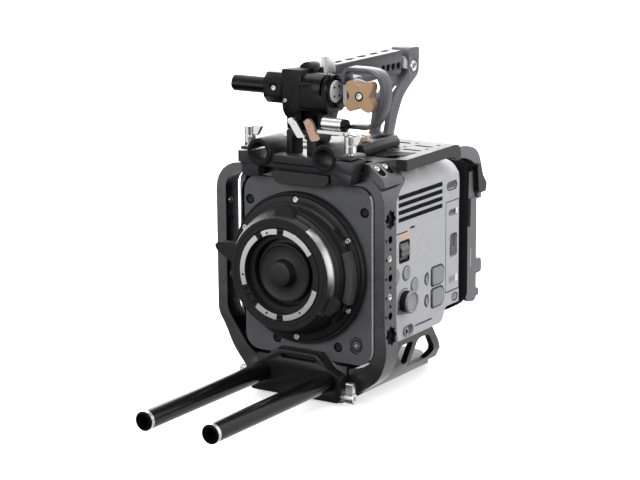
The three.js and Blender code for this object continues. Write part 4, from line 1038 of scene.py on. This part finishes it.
def star_knob():
    """A four-lobed knob with a screw at its middle, in a ring of painted shade."""
    x, z = 59.3, 244.5
    sides, middle, lobe = 128, 11.8, 3.2
    star = []
    for i in range(sides):
        turn = 360 * i / sides
        star.append(polar((x, z), middle - lobe * math.cos(math.radians(4 * turn)), turn))
    knob = cut(prism("y", star, -9.4, -1.6), rod("y", (x, 0, z), 3.6, -11, -8.4, 48))
    fine("star_knob", join(knob, rod("y", (x, 0, z), 2.9, -2, 9, 40)), 0.5)
    # Painted shade: a dark ring round the screw.
    piece("star_ring_shade", ring("y", (x, 0, z), 2.7, 3.5, -9.3, -8.3, 0.1, 64), "star_knob", "gold", BLACK_AND_SHADE)
    piece("star_screw", socket_screw("y", (x, 0, z), 2.5, -9.7, -8.3), "star_knob", "steel", None, 0.1)


def tension_cylinder():
    """The cylinder under the barrel, between a post and a cap, over a bright shelf."""
    axis = (0, -9.6, 221.8)
    fine("tension_cylinder", turned("x", axis, [
        (0, 28), (4.6, 28), (5, 28.4), (5, 42.6), (4.6, 43), (4.6, 44), (5, 44.4), (5, 45.6), (0, 46),
    ], 96))
    fixed("tension_end", ring("x", axis, 3, 4.8, 26.5, 28, 0.3, 64), "bracket_black")
    fixed("tension_shelf", prism("z", rectangle(24, -14.8, 50, -4.6, 2), 214.5, 217.2), "steel", None, 0.3)
    fixed("tension_post", box(23, 26.8, -10, 3, 214.5, 227.7), "bracket_black", None, 0.3)
    fixed("tension_cap", rod("x", axis, 4.6, 46, 49.2, 64, 0.5), "bracket_black")
    fixed("tension_screw", socket_screw("x", axis, 2.4, 26.4, 27.6), "bracket_black")


def tilt_lever(x, across, down, half):
    """A slanting blade under a pivot at `x`: its tip is `across` and `down` from there."""
    z = 220.5
    blade = outline([(x - half, z + 1), (x + half, z + 1, 1), (x + across + half - 0.4, z - down, 1.5),
                     (x + across - half + 0.4, z - down - 1.2, 1.5)])
    return join(prism("y", blade, -9, -6.4), rod("y", (x, 0, z), 3, -9.2, -5.3, 48, 0.3))


def tilt_levers():
    """The silver and the copper lever, side by side under the barrel."""
    fine("tilt_lever_silver", tilt_lever(-2.2, 9, 11.3, 3.8), 0.4)
    fine("tilt_lever_copper", tilt_lever(12.8, 6.4, 12.9, 4), 0.4)


# ---------------------------------------------------------------- the fine pieces, section by section

for section in (
    base, front_plate, cage_cheeks, shoulder,
    mount_flange, grip_pad, mount_tube, lens_seat, locking_ring, port_cap,
    vents, round_buttons, wide_buttons, menu_dial, filter_wheel, door_seams, index_window, door_fittings,
    lower_controls, back, top_rod_bracket, handle,
    end_disc, monitor_rod, barrel_lever, star_knob, tension_cylinder, tilt_levers,
):
    section()
